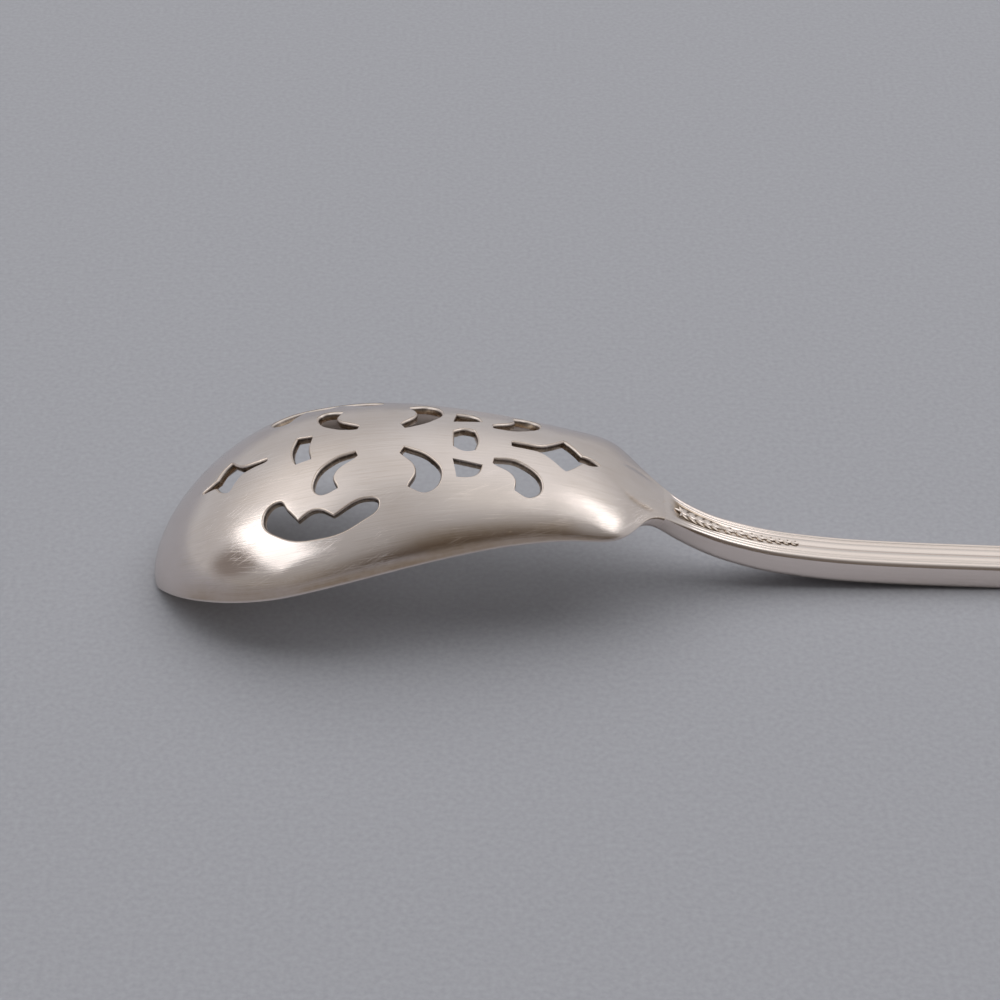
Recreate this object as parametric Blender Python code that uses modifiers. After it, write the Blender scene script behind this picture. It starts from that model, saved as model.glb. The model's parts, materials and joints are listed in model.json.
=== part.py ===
"""Pierced olive spoon, lying face down on a table with its handle along +X.

The bowl is made as a silversmith makes it: a flat leaf-shaped blank is pierced, then raised
into a deep, doubly curved bowl.  The handle is a reeded strap with a round end, and a thin
solder seam joins the two at the neck.

All sizes are in millimetres from the tip of the bowl, and become metres when a mesh is filled.
"""

import math

import bmesh
import bpy
import numpy as np

MM = 0.001

# Overall sizes
LENGTH = 149.0
TIP_TO_WIDEST = 15.0
BOWL_HALF_WIDTH = 14.0
CROWN_HEIGHT = 17.05
TIP_TO_CROWN = 27.0
FLANK_END = 45.0
SHOULDER_HALF_WIDTH = 8.7

# How the rounded tip departs from a true quadrant of an ellipse, in plan and from the side:
# by how much, and how close to the tip
NOSE_TAPER = (0.5, 0)
CROWN_TAPER = (0.5, 4)

# Neck, stem and handle end
STEM_START = 56.5
STEM_HALF_WIDTH = 2.07
STEM_THICKNESS = 2.85
FLARE_START = 96.0
END_RADIUS = 6.5
END_LEAN = 0.293
END_CENTRE = LENGTH - END_LEAN - END_RADIUS
REST_START, REST_END = 90.0, 98.0

# Reeding of the handle's back: a thread all round its edge, a groove, and the wide middle reed
THREAD_WIDTH = 0.45
GROOVE_WIDTH = 0.5
GROOVE_DEPTH = 0.2
REEDING_START, REEDING_FULL = 53.0, 57.0

# Solder seam across the neck, with its clearance to either side
SEAM_X = 51.4
SEAM_WIDTH = 0.2
SEAM_CLEARANCE = 0.05

# Curves along the spoon, as (distance from tip, value)
SHOULDER_OUTLINE = (
    (FLANK_END, SHOULDER_HALF_WIDTH), (46.4, 8.25), (47.5, 7.5), (48.3, 6.5), (48.9, 5.5),
    (49.5, 4.55), (50.2, 3.75), (51.1, 3.1), (52.5, 2.58), (54.0, 2.29),
    (STEM_START, STEM_HALF_WIDTH),
)
BACK_LINE = (
    (19, 16.45), (TIP_TO_CROWN, CROWN_HEIGHT), (35, 16.45), (40, 15.4), (44, 14.1), (47, 12.6),
    (50, 10.45), (54, 7.72), (58, 5.93), (64, 4.4), (72, 3.5), (82, 3.05),
    (REST_START, STEM_THICKNESS), (REST_END, STEM_THICKNESS), (123, 3.85), (LENGTH, 8.1),
)
RIM_LINE = (
    (0, 0), (0.5, 0.3), (1.2, 1.1), (2.5, 2.15), (5, 3.65), (8, 5.1), (12, 6.65), (16, 7.87),
    (20, 8.85), (25, 9.8), (30, 10.42), (36, 10.78), (40, 10.8), (47, 10.35),
)
NECK_DROP = ((47, 2.25), (48, 1.6), (49, 0.9), (50, 0.35), (51, 0.14), (53, 0.0), (LENGTH, 0.0))
EDGE_ANGLE = ((0, 90), (46.5, 90), (49, 65), (51.5, 30), (LENGTH, 30))
THICKNESS = (
    (0, 0.8), (45, 0.8), (48, 1.05), (51, 1.5), (54, 2.05), (58, 2.5), (64, 2.75),
    (72, STEM_THICKNESS), (REST_END, STEM_THICKNESS), (LENGTH, 1.8),
)

# Piercings in plan, as outlines of smooth and corner points.  CENTRE ones give one half,
# which is mirrored across the middle line, and SIDE ones stand once on either side.
SMOOTH, CORNER = "AUTO", "VECTOR"
CENTRE_PIERCINGS = {
    "tip_star": (
        (5.4, 0.2, CORNER), (6.75, 0.62, CORNER), (7.35, 1.75, SMOOTH), (8.1, 2.45, CORNER),
        (8.6, 1.45, SMOOTH), (9.3, 0.65, SMOOTH), (10.3, 0.34, SMOOTH), (11.85, 0.22, CORNER),
    ),
    "bracket": (
        (14.4, 0.0, SMOOTH), (14.8, 2.25, CORNER), (16.25, 2.0, CORNER), (15.95, 0.0, SMOOTH),
    ),
    "keystone": (
        (30.4, 0.0, SMOOTH), (30.4, 1.25, CORNER), (31.4, 1.8, SMOOTH), (32.4, 1.6, CORNER),
        (32.7, 0.0, SMOOTH),
    ),
    "heel_star": (
        (36.1, 0.35, CORNER), (37.5, 0.37, SMOOTH), (39.0, 0.5, SMOOTH), (40.2, 1.3, SMOOTH),
        (41.4, 2.5, CORNER), (42.3, 1.6, SMOOTH), (43.1, 0.55, CORNER), (43.9, 0.52, SMOOTH),
        (44.9, 0.0, CORNER),
    ),
}
SIDE_PIERCINGS = {
    "front_comma": (
        (20.7, 1.9, CORNER), (18.6, 2.65, SMOOTH), (16.9, 4.65, SMOOTH), (17.2, 6.8, SMOOTH),
        (19.07, 6.5, CORNER), (18.6, 4.8, SMOOTH), (20.9, 2.55, CORNER),
    ),
    "middle_comma": (
        (25.5, 1.6, CORNER), (28.0, 3.1, SMOOTH), (29.15, 5.3, SMOOTH), (27.8, 7.25, SMOOTH),
        (25.95, 6.75, CORNER), (26.7, 4.7, SMOOTH), (25.1, 2.45, CORNER),
    ),
    "cheek": (
        (30.25, 3.1, CORNER), (33.15, 3.65, CORNER), (32.5, 4.9, SMOOTH), (30.65, 5.35, CORNER),
    ),
    "heel_comma": (
        (34.35, 2.6, CORNER), (36.9, 2.75, SMOOTH), (39.0, 5.1, SMOOTH), (37.9, 6.5, SMOOTH),
        (36.4, 6.1, CORNER), (36.4, 4.7, SMOOTH), (34.25, 3.25, CORNER),
    ),
    "scroll": (
        (13.2, 6.65, SMOOTH), (11.9, 8.0, SMOOTH), (13.6, 10.3, SMOOTH), (17.3, 11.2, SMOOTH),
        (21.4, 10.1, SMOOTH), (23.1, 8.4, SMOOTH), (22.1, 7.95, SMOOTH), (18.8, 9.4, CORNER),
        (17.0, 8.55, SMOOTH), (15.3, 9.3, CORNER), (14.2, 7.9, SMOOTH),
    ),
}

# How finely the solids are faceted
BOWL_ROWS = np.concatenate([
    (0, 0.35, 1.2, 2.5, 4.2, 6.3), np.arange(8.5, 45, 2.0),
    (45, 46.2, 47.2, 48.0, 48.7, 49.3, 49.9, 50.6, SEAM_X),
])
BOWL_COLUMNS = np.linspace(-1, 1, 23)
NECK_COLUMNS = np.linspace(-1, 1, 9)
HANDLE_ROWS = np.concatenate([
    (52.4, 53.2, 54, 55.2, 56.5, 58, 60, 62, 64.5, 68, 72, 77, 82, 86, REST_START, REST_END),
    np.linspace(REST_END + 5, END_CENTRE, 9),
])
END_ANGLES = np.radians(np.linspace(75, 0, 6))
OUTLINE_STEPS = 4
SMOOTH_ANGLE = math.radians(30)

# The flat blank is one unit thick; a cutter reaches this far above and below its top
CUTTER_REACH = 2.0
# A step for measuring slopes, and the distance under which points are one
SLOPE_STEP = 1e-3
WELD_DISTANCE = 1e-4

# Finishes, as (colour, roughness)
SATIN_SILVER = ((0.70, 0.66, 0.62, 1.0), 0.28)
BRIGHT_SILVER = ((0.70, 0.66, 0.62, 1.0), 0.24)
SILVER_SOLDER = ((0.66, 0.62, 0.55, 1.0), 0.35)


def through(points, x):
    """A smooth curve through hand-set points that never overshoots them."""
    at, value = np.array(points, float).T
    step = np.diff(at)
    slope = np.diff(value) / step
    before, after = slope[:-1], slope[1:]
    same_way = before * after > 0
    tangent = np.concatenate([slope[:1], np.zeros(len(before)), slope[-1:]])
    harmonic = 2 / (1 / np.where(same_way, before, 1) + 1 / np.where(same_way, after, 1))
    tangent[1:-1] = np.where(same_way, harmonic, 0)
    x = np.clip(x, at[0], at[-1])
    i = np.clip(np.searchsorted(at, x, side="right") - 1, 0, len(step) - 1)
    u = (x - at[i]) / step[i]
    bend = step[i] * u * (1 - u) * (tangent[i] * (1 - u) - tangent[i + 1] * u)
    return value[i] + (value[i + 1] - value[i]) * ease(u) + bend


def ease(u):
    """Goes from 0 to 1 as u does, starting and ending level."""
    u = np.clip(u, 0, 1)
    return u * u * (3 - 2 * u)


def swell(x, reach, taper):
    """Rises from 0 at the tip to 1 at reach, round like a quarter of an ellipse."""
    amount, closeness = taper
    u = np.clip(1 - x / reach, 0, 1)
    return np.sqrt(1 - u ** 2 * (1 + amount * (1 - u) * u ** closeness))


def half_width(x):
    nose = BOWL_HALF_WIDTH * swell(x, TIP_TO_WIDEST, NOSE_TAPER)
    narrowing = ease((x - TIP_TO_WIDEST) / (FLANK_END - TIP_TO_WIDEST))
    flank = BOWL_HALF_WIDTH - (BOWL_HALF_WIDTH - SHOULDER_HALF_WIDTH) * narrowing
    flare = ease((x - FLARE_START) / (END_CENTRE - FLARE_START))
    stem = STEM_HALF_WIDTH + (END_RADIUS - STEM_HALF_WIDTH) * flare
    return np.select(
        [x < TIP_TO_WIDEST, x < FLANK_END, x < STEM_START],
        [nose, flank, through(SHOULDER_OUTLINE, x)],
        stem,
    )


def back_height(x):
    nose = CROWN_HEIGHT * swell(x, TIP_TO_CROWN, CROWN_TAPER)
    return np.where(x < TIP_TO_CROWN, nose, through(BACK_LINE, x))


def edge_drop(x):
    """How far the rim, or the strap's edge, lies below the back's middle line."""
    bowl = back_height(x) - through(RIM_LINE, x)
    return np.where(x < RIM_LINE[-1][0], bowl, through(NECK_DROP, x))


def back_point(x, across):
    """A point of the back; across runs from -1 on one edge to 1 on the other."""
    whole = np.radians(through(EDGE_ANGLE, x))
    turn = across * whole
    y = half_width(x) * np.sin(turn) / np.sin(whole)
    z = back_height(x) - edge_drop(x) * (1 - np.cos(turn)) / (1 - np.cos(whole))
    return np.stack([x, y, z], axis=-1)


def back_normal(x, across):
    """The outward direction of the back, from small steps along and across it."""
    step = SLOPE_STEP
    ahead = np.maximum(x, 2 * step)
    inside = np.clip(across, -1 + step, 1 - step)
    along = back_point(ahead + step, inside) - back_point(ahead - step, inside)
    sideways = back_point(ahead, inside + step) - back_point(ahead, inside - step)
    normal = np.cross(along, sideways)
    return normal / np.linalg.norm(normal, axis=-1, keepdims=True)


def groove_depth(x, y):
    """Depth of the groove that runs inside the thread, along both edges and round the end."""
    from_end = END_RADIUS - np.hypot(x - END_CENTRE, y)
    from_edge = np.where(x > END_CENTRE, from_end, half_width(x) - np.abs(y))
    half = GROOVE_WIDTH / 2
    groove = np.clip(1 - np.abs(from_edge - THREAD_WIDTH - half) / half, 0, 1)
    return GROOVE_DEPTH * groove * ease((x - REEDING_START) / (REEDING_FULL - REEDING_START))


def raise_blank(flat, reeded=False):
    """Bends a flat plate, one unit thick below z = 0, into the spoon's curved form."""
    x, y, depth = flat.T
    whole = np.radians(through(EDGE_ANGLE, x))
    width = np.maximum(half_width(x), WELD_DISTANCE)
    across = np.arcsin(np.clip(y * np.sin(whole) / width, -1, 1)) / whole
    sink = -depth * through(THICKNESS, x)
    if reeded:
        sink = sink + groove_depth(x, y) * (1 + depth)
    raised = back_point(x, across) - sink[:, None] * back_normal(x, across)
    raised[:, 2] = np.maximum(raised[:, 2], 0)
    return raised


def place(raised):
    """Metres, with the origin under the middle of the spoon."""
    return (raised - (LENGTH / 2, 0, 0)) * MM


def new_object(name, mesh, collection):
    made = bpy.data.objects.new(name, mesh)
    collection.objects.link(made)
    return made


def flat_plate(name, plan, collection):
    """A closed plate, one unit thick, over a grid of plan points[row, column]."""
    rows, columns = plan.shape[:2]
    build = bmesh.new()
    grid = bmesh.ops.create_grid(build, x_segments=columns - 1, y_segments=rows - 1)["verts"]
    for vertex, (x, y) in zip(grid, plan.reshape(-1, 2)):
        vertex.co = (x, y, 0)
    bmesh.ops.remove_doubles(build, verts=build.verts, dist=WELD_DISTANCE)
    for face in build.faces:
        face.normal_update()
        if face.normal.z < 0:
            face.normal_flip()
    mesh = bpy.data.meshes.new(name)
    build.to_mesh(mesh)
    build.free()
    plate = new_object(name, mesh, collection)
    shell = plate.modifiers.new("thickness", "SOLIDIFY")
    shell.thickness = 1
    shell.offset = -1
    return plate


def strip_plan(rows, columns):
    """Plan points of a length of the spoon, on straight rows across it."""
    x, across = np.meshgrid(rows, columns, indexing="ij")
    return back_point(x, across)[..., :2]


def handle_plan(start):
    """Plan points of the handle: rows across it, then rows that fan round its end."""
    border = np.array((
        0, THREAD_WIDTH, THREAD_WIDTH + GROOVE_WIDTH / 2, THREAD_WIDTH + GROOVE_WIDTH,
    ))
    rows = []
    for x in (start, *HANDLE_ROWS):
        offsets = half_width(np.float64(x)) - border
        side = np.array((*offsets, offsets[-1] / 2))
        rows.append([(x, y) for y in (*-side, 0, *side[::-1])])
    offsets = END_RADIUS - border
    for angle in END_ANGLES:
        reach = np.array((*offsets, offsets[-1] / 2))
        x = END_CENTRE + reach * math.cos(angle)
        y = reach * math.sin(angle)
        near = list(zip(x, -y))
        far = list(zip(x, y))
        rows.append([*near, (END_CENTRE, 0), *far[::-1]])
    return np.array(rows)


def outline_cutter(name, points, collection):
    """A prism through the flat blank, on a closed outline of smooth and corner points."""
    curve = bpy.data.curves.new(name, "CURVE")
    curve.dimensions = "2D"
    curve.fill_mode = "BOTH"
    curve.extrude = CUTTER_REACH
    curve.resolution_u = OUTLINE_STEPS
    spline = curve.splines.new("BEZIER")
    spline.bezier_points.add(len(points) - 1)
    spline.use_cyclic_u = True
    for knot, (x, y, kind) in zip(spline.bezier_points, points):
        knot.co = (x, y, 0)
        knot.handle_left_type = kind
        knot.handle_right_type = kind
    outline = new_object(name + "_outline", curve, collection)
    bpy.context.view_layer.update()
    graph = bpy.context.evaluated_depsgraph_get()
    mesh = bpy.data.meshes.new_from_object(outline.evaluated_get(graph))
    bpy.data.objects.remove(outline)
    build = bmesh.new()
    build.from_mesh(mesh)
    bmesh.ops.remove_doubles(build, verts=build.verts, dist=WELD_DISTANCE)
    bmesh.ops.recalc_face_normals(build, faces=build.faces)
    build.to_mesh(mesh)
    build.free()
    cutter = new_object(name, mesh, collection)
    cutter.hide_render = True
    cutter.display_type = "WIRE"


def mirrored(points):
    return tuple((x, -y, kind) for x, y, kind in reversed(points))


def make_cutters(collection):
    for name, half in CENTRE_PIERCINGS.items():
        other = mirrored([point for point in half if point[1] > 0])
        outline_cutter(name, half + other, collection)
    for name, outline in SIDE_PIERCINGS.items():
        outline_cutter(name + "_far", outline, collection)
        outline_cutter(name + "_near", mirrored(outline), collection)


def finished_mesh(plate, reeded=False):
    """The plate as evaluated, cut into triangles while flat and then raised."""
    bpy.context.view_layer.update()
    graph = bpy.context.evaluated_depsgraph_get()
    mesh = bpy.data.meshes.new_from_object(plate.evaluated_get(graph))
    name = plate.name
    bpy.data.objects.remove(plate)
    build = bmesh.new()
    build.from_mesh(mesh)
    bmesh.ops.remove_doubles(build, verts=build.verts, dist=WELD_DISTANCE)
    bmesh.ops.triangulate(build, faces=build.faces)
    flat = np.array([vertex.co for vertex in build.verts])
    for vertex, point in zip(build.verts, place(raise_blank(flat, reeded))):
        vertex.co = point
    build.to_mesh(mesh)
    build.free()
    mesh.shade_smooth()
    mesh.set_sharp_from_angle(angle=SMOOTH_ANGLE)
    mesh.name = name
    return mesh


def finish_material(name, finish):
    colour, roughness = finish
    material = bpy.data.materials.new(name)
    material.use_nodes = True
    shader = material.node_tree.nodes["Principled BSDF"]
    shader.inputs["Base Color"].default_value = colour
    shader.inputs["Roughness"].default_value = roughness
    shader.inputs["Metallic"].default_value = 1
    return material


def add_part(name, mesh, material, collection, spoon):
    mesh.materials.clear()
    mesh.materials.append(material)
    part = new_object(name, mesh, collection)
    part.parent = spoon


def make_bowl(parts, cutters, spoon):
    blank = flat_plate("bowl_blank", strip_plan(BOWL_ROWS, BOWL_COLUMNS), parts)
    make_cutters(cutters)
    piercing = blank.modifiers.new("piercing", "BOOLEAN")
    piercing.operand_type = "COLLECTION"
    piercing.collection = cutters
    piercing.solver = "EXACT"
    satin = finish_material("satin_silver", SATIN_SILVER)
    add_part("bowl", finished_mesh(blank), satin, parts, spoon)


def make_solder(parts, spoon):
    start = SEAM_X + SEAM_CLEARANCE
    rows = np.array((start, start + SEAM_WIDTH))
    slab = flat_plate("solder_slab", strip_plan(rows, NECK_COLUMNS), parts)
    solder = finish_material("silver_solder", SILVER_SOLDER)
    add_part("neck_solder", finished_mesh(slab), solder, parts, spoon)


def make_handle(parts, spoon):
    start = SEAM_X + 2 * SEAM_CLEARANCE + SEAM_WIDTH
    strap = flat_plate("handle_strap", handle_plan(start), parts)
    bright = finish_material("bright_silver", BRIGHT_SILVER)
    add_part("handle", finished_mesh(strap, reeded=True), bright, parts, spoon)


def main():
    for leftover in list(bpy.data.objects):
        bpy.data.objects.remove(leftover)
    scene = bpy.context.scene
    parts = bpy.data.collections.new("pierced_olive_spoon")
    cutters = bpy.data.collections.new("piercing_cutters")
    scene.collection.children.link(parts)
    scene.collection.children.link(cutters)
    spoon = new_object("spoon", None, parts)
    make_bowl(parts, cutters, spoon)
    make_solder(parts, spoon)
    make_handle(parts, spoon)


main()
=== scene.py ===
"""Finished surface of a pierced olive spoon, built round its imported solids.

The bowl is a flat sheet with the piercings sawn through it, raised into its deep curve.  The
handle is a reeded strap with a round end and a drop of husks, and a thin seam of solder joins
the two.  Shapes are in millimetres from the tip of the bowl, and become metres when placed.
"""

import json
import math

import bmesh
import bpy
import numpy as np
from bpy.props import FloatProperty, FloatVectorProperty, IntProperty, PointerProperty
from bpy.types import Operator, Panel, PropertyGroup
from mathutils import Matrix, Vector

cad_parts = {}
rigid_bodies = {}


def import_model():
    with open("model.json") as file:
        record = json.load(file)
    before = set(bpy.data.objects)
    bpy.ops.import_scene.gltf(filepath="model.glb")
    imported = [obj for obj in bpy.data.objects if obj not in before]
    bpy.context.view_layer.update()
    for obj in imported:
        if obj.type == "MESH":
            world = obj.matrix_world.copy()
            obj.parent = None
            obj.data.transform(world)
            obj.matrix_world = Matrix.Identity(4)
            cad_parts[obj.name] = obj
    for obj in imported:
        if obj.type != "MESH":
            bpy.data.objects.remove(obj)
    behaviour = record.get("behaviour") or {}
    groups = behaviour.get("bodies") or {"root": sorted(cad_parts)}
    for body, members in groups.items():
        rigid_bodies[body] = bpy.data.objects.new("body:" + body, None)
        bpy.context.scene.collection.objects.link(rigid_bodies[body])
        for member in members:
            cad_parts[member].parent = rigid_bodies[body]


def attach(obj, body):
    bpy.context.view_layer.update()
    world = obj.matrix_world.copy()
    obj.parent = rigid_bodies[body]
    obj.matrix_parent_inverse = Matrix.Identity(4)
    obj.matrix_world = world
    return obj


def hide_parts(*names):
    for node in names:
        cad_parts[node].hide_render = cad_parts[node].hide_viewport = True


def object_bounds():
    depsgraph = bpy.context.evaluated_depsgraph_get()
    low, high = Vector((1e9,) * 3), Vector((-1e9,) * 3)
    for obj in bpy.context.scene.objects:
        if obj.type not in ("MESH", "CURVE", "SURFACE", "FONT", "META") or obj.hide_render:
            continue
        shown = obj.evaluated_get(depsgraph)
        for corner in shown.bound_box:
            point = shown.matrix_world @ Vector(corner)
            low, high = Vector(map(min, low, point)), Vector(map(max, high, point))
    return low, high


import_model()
CAD_LOW, CAD_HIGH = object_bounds()

bl_info = {
    "name": "Pierced Olive Spoon",
    "version": (1, 0, 0),
    "blender": (4, 5, 0),
    "location": "3D View > Sidebar > Spoon",
    "description": "Makes the finished surface of a pierced silver olive spoon",
    "category": "Add Mesh",
}

MM = 0.001

# Overall sizes, from the frame
LENGTH = (CAD_HIGH.x - CAD_LOW.x) / MM
BOWL_HALF_WIDTH = CAD_HIGH.y / MM
CROWN_HEIGHT = CAD_HIGH.z / MM

# Bowl
TIP_TO_WIDEST = 15.0
TIP_TO_CROWN = 27.0
FLANK_END = 45.0
SHOULDER_HALF_WIDTH = 8.7
NOSE_TAPER = (0.5, 0)
CROWN_TAPER = (0.5, 4)

# Neck, stem and handle end
SEAM_X = 51.55
SEAM_WIDTH = 0.1
STEM_START = 56.5
STEM_HALF_WIDTH = 2.07
STEM_THICKNESS = 2.85
FLARE_START = 96.0
END_RADIUS = 6.5
END_LEAN = 0.293
END_CENTRE = LENGTH - END_LEAN - END_RADIUS
REST_START, REST_END = 90.0, 98.0

# Curves along the spoon, as (distance from tip, value)
SHOULDER_OUTLINE = (
    (FLANK_END, SHOULDER_HALF_WIDTH), (46.4, 8.25), (47.5, 7.5), (48.3, 6.5), (48.9, 5.5),
    (49.5, 4.55), (50.2, 3.75), (51.1, 3.1), (52.5, 2.58), (54.0, 2.29),
    (STEM_START, STEM_HALF_WIDTH),
)
BACK_LINE = (
    (19, 16.45), (TIP_TO_CROWN, CROWN_HEIGHT), (35, 16.45), (40, 15.4), (44, 14.1), (47, 12.6),
    (50, 10.45), (54, 7.72), (58, 5.93), (64, 4.4), (72, 3.5), (82, 3.05),
    (REST_START, STEM_THICKNESS), (REST_END, STEM_THICKNESS), (123, 3.85), (LENGTH, 8.1),
)
RIM_LINE = (
    (0, 0), (0.5, 0.3), (1.2, 1.1), (2.5, 2.15), (5, 3.65), (8, 5.1), (12, 6.65), (16, 7.87),
    (20, 8.85), (25, 9.8), (30, 10.42), (36, 10.78), (40, 10.8), (47, 10.35),
)
NECK_DROP = ((47, 2.25), (48, 1.6), (49, 0.9), (50, 0.35), (51, 0.14), (53, 0.0), (LENGTH, 0.0))
EDGE_ANGLE = ((0, 90), (46.5, 90), (49, 65), (51.5, 30), (LENGTH, 30))
STRAP_THICKNESS = (
    (45, 0.0), (48, 0.25), (51, 0.7), (54, 1.25), (58, 1.7), (64, 1.95), (72, 2.05),
    (REST_END, 2.05), (LENGTH, 1.0),
)

# The tongue, where the strap runs out on the bowl's heel between two soft creases
TONGUE_OUTLINE = (
    (45.4, 0.0), (46.0, 0.75), (46.6, 1.5), (47.2, 2.2), (47.9, 2.75), (48.7, 2.9), (49.6, 2.78),
    (51.0, 2.6), (53.0, 2.4),
)
CREASE_RUN = ((46.0, 0.0), (47.0, 0.3), (48.2, 1.0), (49.4, 1.0), (50.8, 0.0))
CREASE_DEPTH = 0.06
CREASE_WIDTH = 0.45
TONGUE_FLATNESS = 0.3

# Edges turn from the bowl's round rim into the strap's beads along the neck, and no rounding is
# more than a share of the back's height, so that it closes at the tip
EDGE_TURN_START, EDGE_TURN_END = 48.0, 54.0
BEAD_RUN = 4.0
ROUND_LIMIT = 0.25

# Curves are evened out over this reach, from a little way behind the tip
EVEN_REACH = 0.6
EVEN_SAMPLE = 0.05
EVEN_START, EVEN_BLEND = 5.0, 6.0

# Piercings in plan, as outlines of smooth and corner points.  CENTRE ones give one half,
# which is mirrored across the middle line, and SIDE ones stand once on either side.
SMOOTH, CORNER = "AUTO", "VECTOR"
CENTRE_PIERCINGS = {
    "tip_star": (
        (5.4, 0.2, CORNER), (6.75, 0.62, CORNER), (7.35, 1.75, SMOOTH), (8.1, 2.45, CORNER),
        (8.6, 1.45, SMOOTH), (9.3, 0.65, SMOOTH), (10.3, 0.34, SMOOTH), (11.85, 0.22, CORNER),
    ),
    "bracket": (
        (14.4, 0.0, SMOOTH), (14.8, 2.25, CORNER), (16.25, 2.0, CORNER), (15.95, 0.0, SMOOTH),
    ),
    "keystone": (
        (30.4, 0.0, SMOOTH), (30.4, 1.25, CORNER), (31.4, 1.8, SMOOTH), (32.4, 1.6, CORNER),
        (32.7, 0.0, SMOOTH),
    ),
    "heel_star": (
        (36.1, 0.35, CORNER), (37.5, 0.37, SMOOTH), (39.0, 0.5, SMOOTH), (40.2, 1.3, SMOOTH),
        (41.4, 2.5, CORNER), (42.3, 1.6, SMOOTH), (43.1, 0.55, CORNER), (43.9, 0.52, SMOOTH),
        (44.9, 0.0, CORNER),
    ),
}
SIDE_PIERCINGS = {
    "front_comma": (
        (20.7, 1.9, CORNER), (18.6, 2.65, SMOOTH), (16.9, 4.65, SMOOTH), (17.2, 6.8, SMOOTH),
        (19.07, 6.5, CORNER), (18.6, 4.8, SMOOTH), (20.9, 2.55, CORNER),
    ),
    "middle_comma": (
        (25.5, 1.6, CORNER), (28.0, 3.1, SMOOTH), (29.15, 5.3, SMOOTH), (27.8, 7.25, SMOOTH),
        (25.95, 6.75, CORNER), (26.7, 4.7, SMOOTH), (25.1, 2.45, CORNER),
    ),
    "cheek": (
        (30.25, 3.1, CORNER), (33.15, 3.65, CORNER), (32.5, 4.9, SMOOTH), (30.65, 5.35, CORNER),
    ),
    "heel_comma": (
        (34.35, 2.6, CORNER), (36.9, 2.75, SMOOTH), (39.0, 5.1, SMOOTH), (37.9, 6.5, SMOOTH),
        (36.4, 6.1, CORNER), (36.4, 4.7, SMOOTH), (34.25, 3.25, CORNER),
    ),
    "scroll": (
        (13.2, 6.65, SMOOTH), (11.9, 8.0, SMOOTH), (13.6, 10.3, SMOOTH), (17.3, 11.2, SMOOTH),
        (21.4, 10.1, SMOOTH), (23.1, 8.4, SMOOTH), (22.1, 7.95, SMOOTH), (18.8, 9.4, CORNER),
        (17.0, 8.55, SMOOTH), (15.3, 9.3, CORNER), (14.2, 7.9, SMOOTH),
    ),
}
OUTLINE_STEPS = 10
# A cutter's wall, as (share of the bevel, depth in millimetres below the back)
CUTTER_WALL = ((1.65, -0.12), (0.35, 0.12), (0.0, 0.28), (0.0, 4.0))

# Reeding across the handle's back, as (distance from the edge, height as a share of its depth)
REED_PROFILE = (
    (0.00, 1.00), (0.50, 1.00), (0.60, 0.86), (0.70, 0.50), (0.80, 0.76), (0.90, 0.80),
    (0.99, 0.70), (1.08, 0.56), (1.18, 0.74), (1.50, 0.92), (1.78, 0.74), (2.07, 0.12),
)
# The strap's edge, as (depth below the face, share of the bead's rounding that stands out there)
BEAD_PROFILE = (
    (0.0, 0.0), (0.015, 0.22), (0.05, 0.42), (0.1, 0.56), (0.16, 0.65), (0.55, 1.0), (4.0, 1.0),
)
REEDING_START, REEDING_FULL = 51.7, 53.4
# The sunk field under the ornament: where it starts, is full, begins to fade and ends.  It keeps a
# margin from the edge, which widens a little from a place on over a run.
ORNAMENT_FIELD = (51.8, 53.4, 57.0, 67.0)
FIELD_DEPTH = 0.75
FIELD_MARGIN, FIELD_WIDENING, FIELD_SOFTNESS = 1.02, 0.25, 0.3
FIELD_WIDENS, FIELD_WIDENS_RUN = 56.0, 3.0
# Leaves one unit long, as (half width, height, depth of the vein), and how a husk's side leaves
# and bead are turned, sized and set.  Their plan and crown are humps, as (margin, lean, fullness).
PETAL, LEAF, SIDE_LEAF = (0.17, 0.16, 0.35), (0.2, 0.17, 0.3), (0.2, 0.14, 0.3)
BEAD = (0.42, 0.55, 0.0)
SIDE_LEAF_TURN, SIDE_LEAF_SIZE, SIDE_LEAF_ALONG, SIDE_LEAF_ASIDE = 0.55, 0.8, 0.02, 0.08
BEAD_SIZE, BEAD_ALONG = 0.26, -0.08
PETAL_PLAN, PETAL_CROWN = (0.02, 0.75, 0.8), (0.03, 0.8, 0.6)
ROOT_DEPTH = 0.12
VEIN_WIDTH = 0.22
FAN_X, FAN_ANGLES = 53.5, (-60, 0, 60)
FAN_LENGTH, FAN_SHORTENING = 1.2, 0.2
# The husks below the fan, as (distance from the tip, length): large and close, then the small,
# each a share of the one before in its length and set off by a share of that length
LARGE_HUSKS = ((53.2, 1.7), (54.0, 1.75), (54.8, 1.7), (55.6, 1.6), (56.4, 1.4))
SMALL_HUSKS_START = 57.8
HUSK_SPACING, HUSK_SHRINKING = 0.9, 0.94
LIFT_LIMIT = 1.2
ORNAMENT_CLEAR = 0.02

# How finely the surfaces are cut
TIP_ROWS = 24
TIP_SPAN = 6.0
BOWL_ROW_STEP = 0.4
BOWL_COLUMNS = 93
EDGE_LEVELS = (
    0, 0.005, 0.017, 0.035, 0.06, 0.09, 0.125, 0.17, 0.22, 0.35, 0.5, 0.65, 0.78, 0.83, 0.875,
    0.91, 0.94, 0.965, 0.983, 0.995, 1,
)
HANDLE_ROWS = np.concatenate([
    np.arange(SEAM_X + SEAM_WIDTH / 2, 60, 0.22), np.arange(60, REST_START, 0.5),
    np.linspace(REST_START, END_CENTRE, 52),
])
END_ANGLES = np.radians(np.linspace(90, 0, 37)[1:])
REED_COLUMNS = np.concatenate([np.arange(0, 0.75, 0.035), np.arange(0.79, 1.55, 0.08)])
SMOOTH_ANGLE = math.radians(48)
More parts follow.
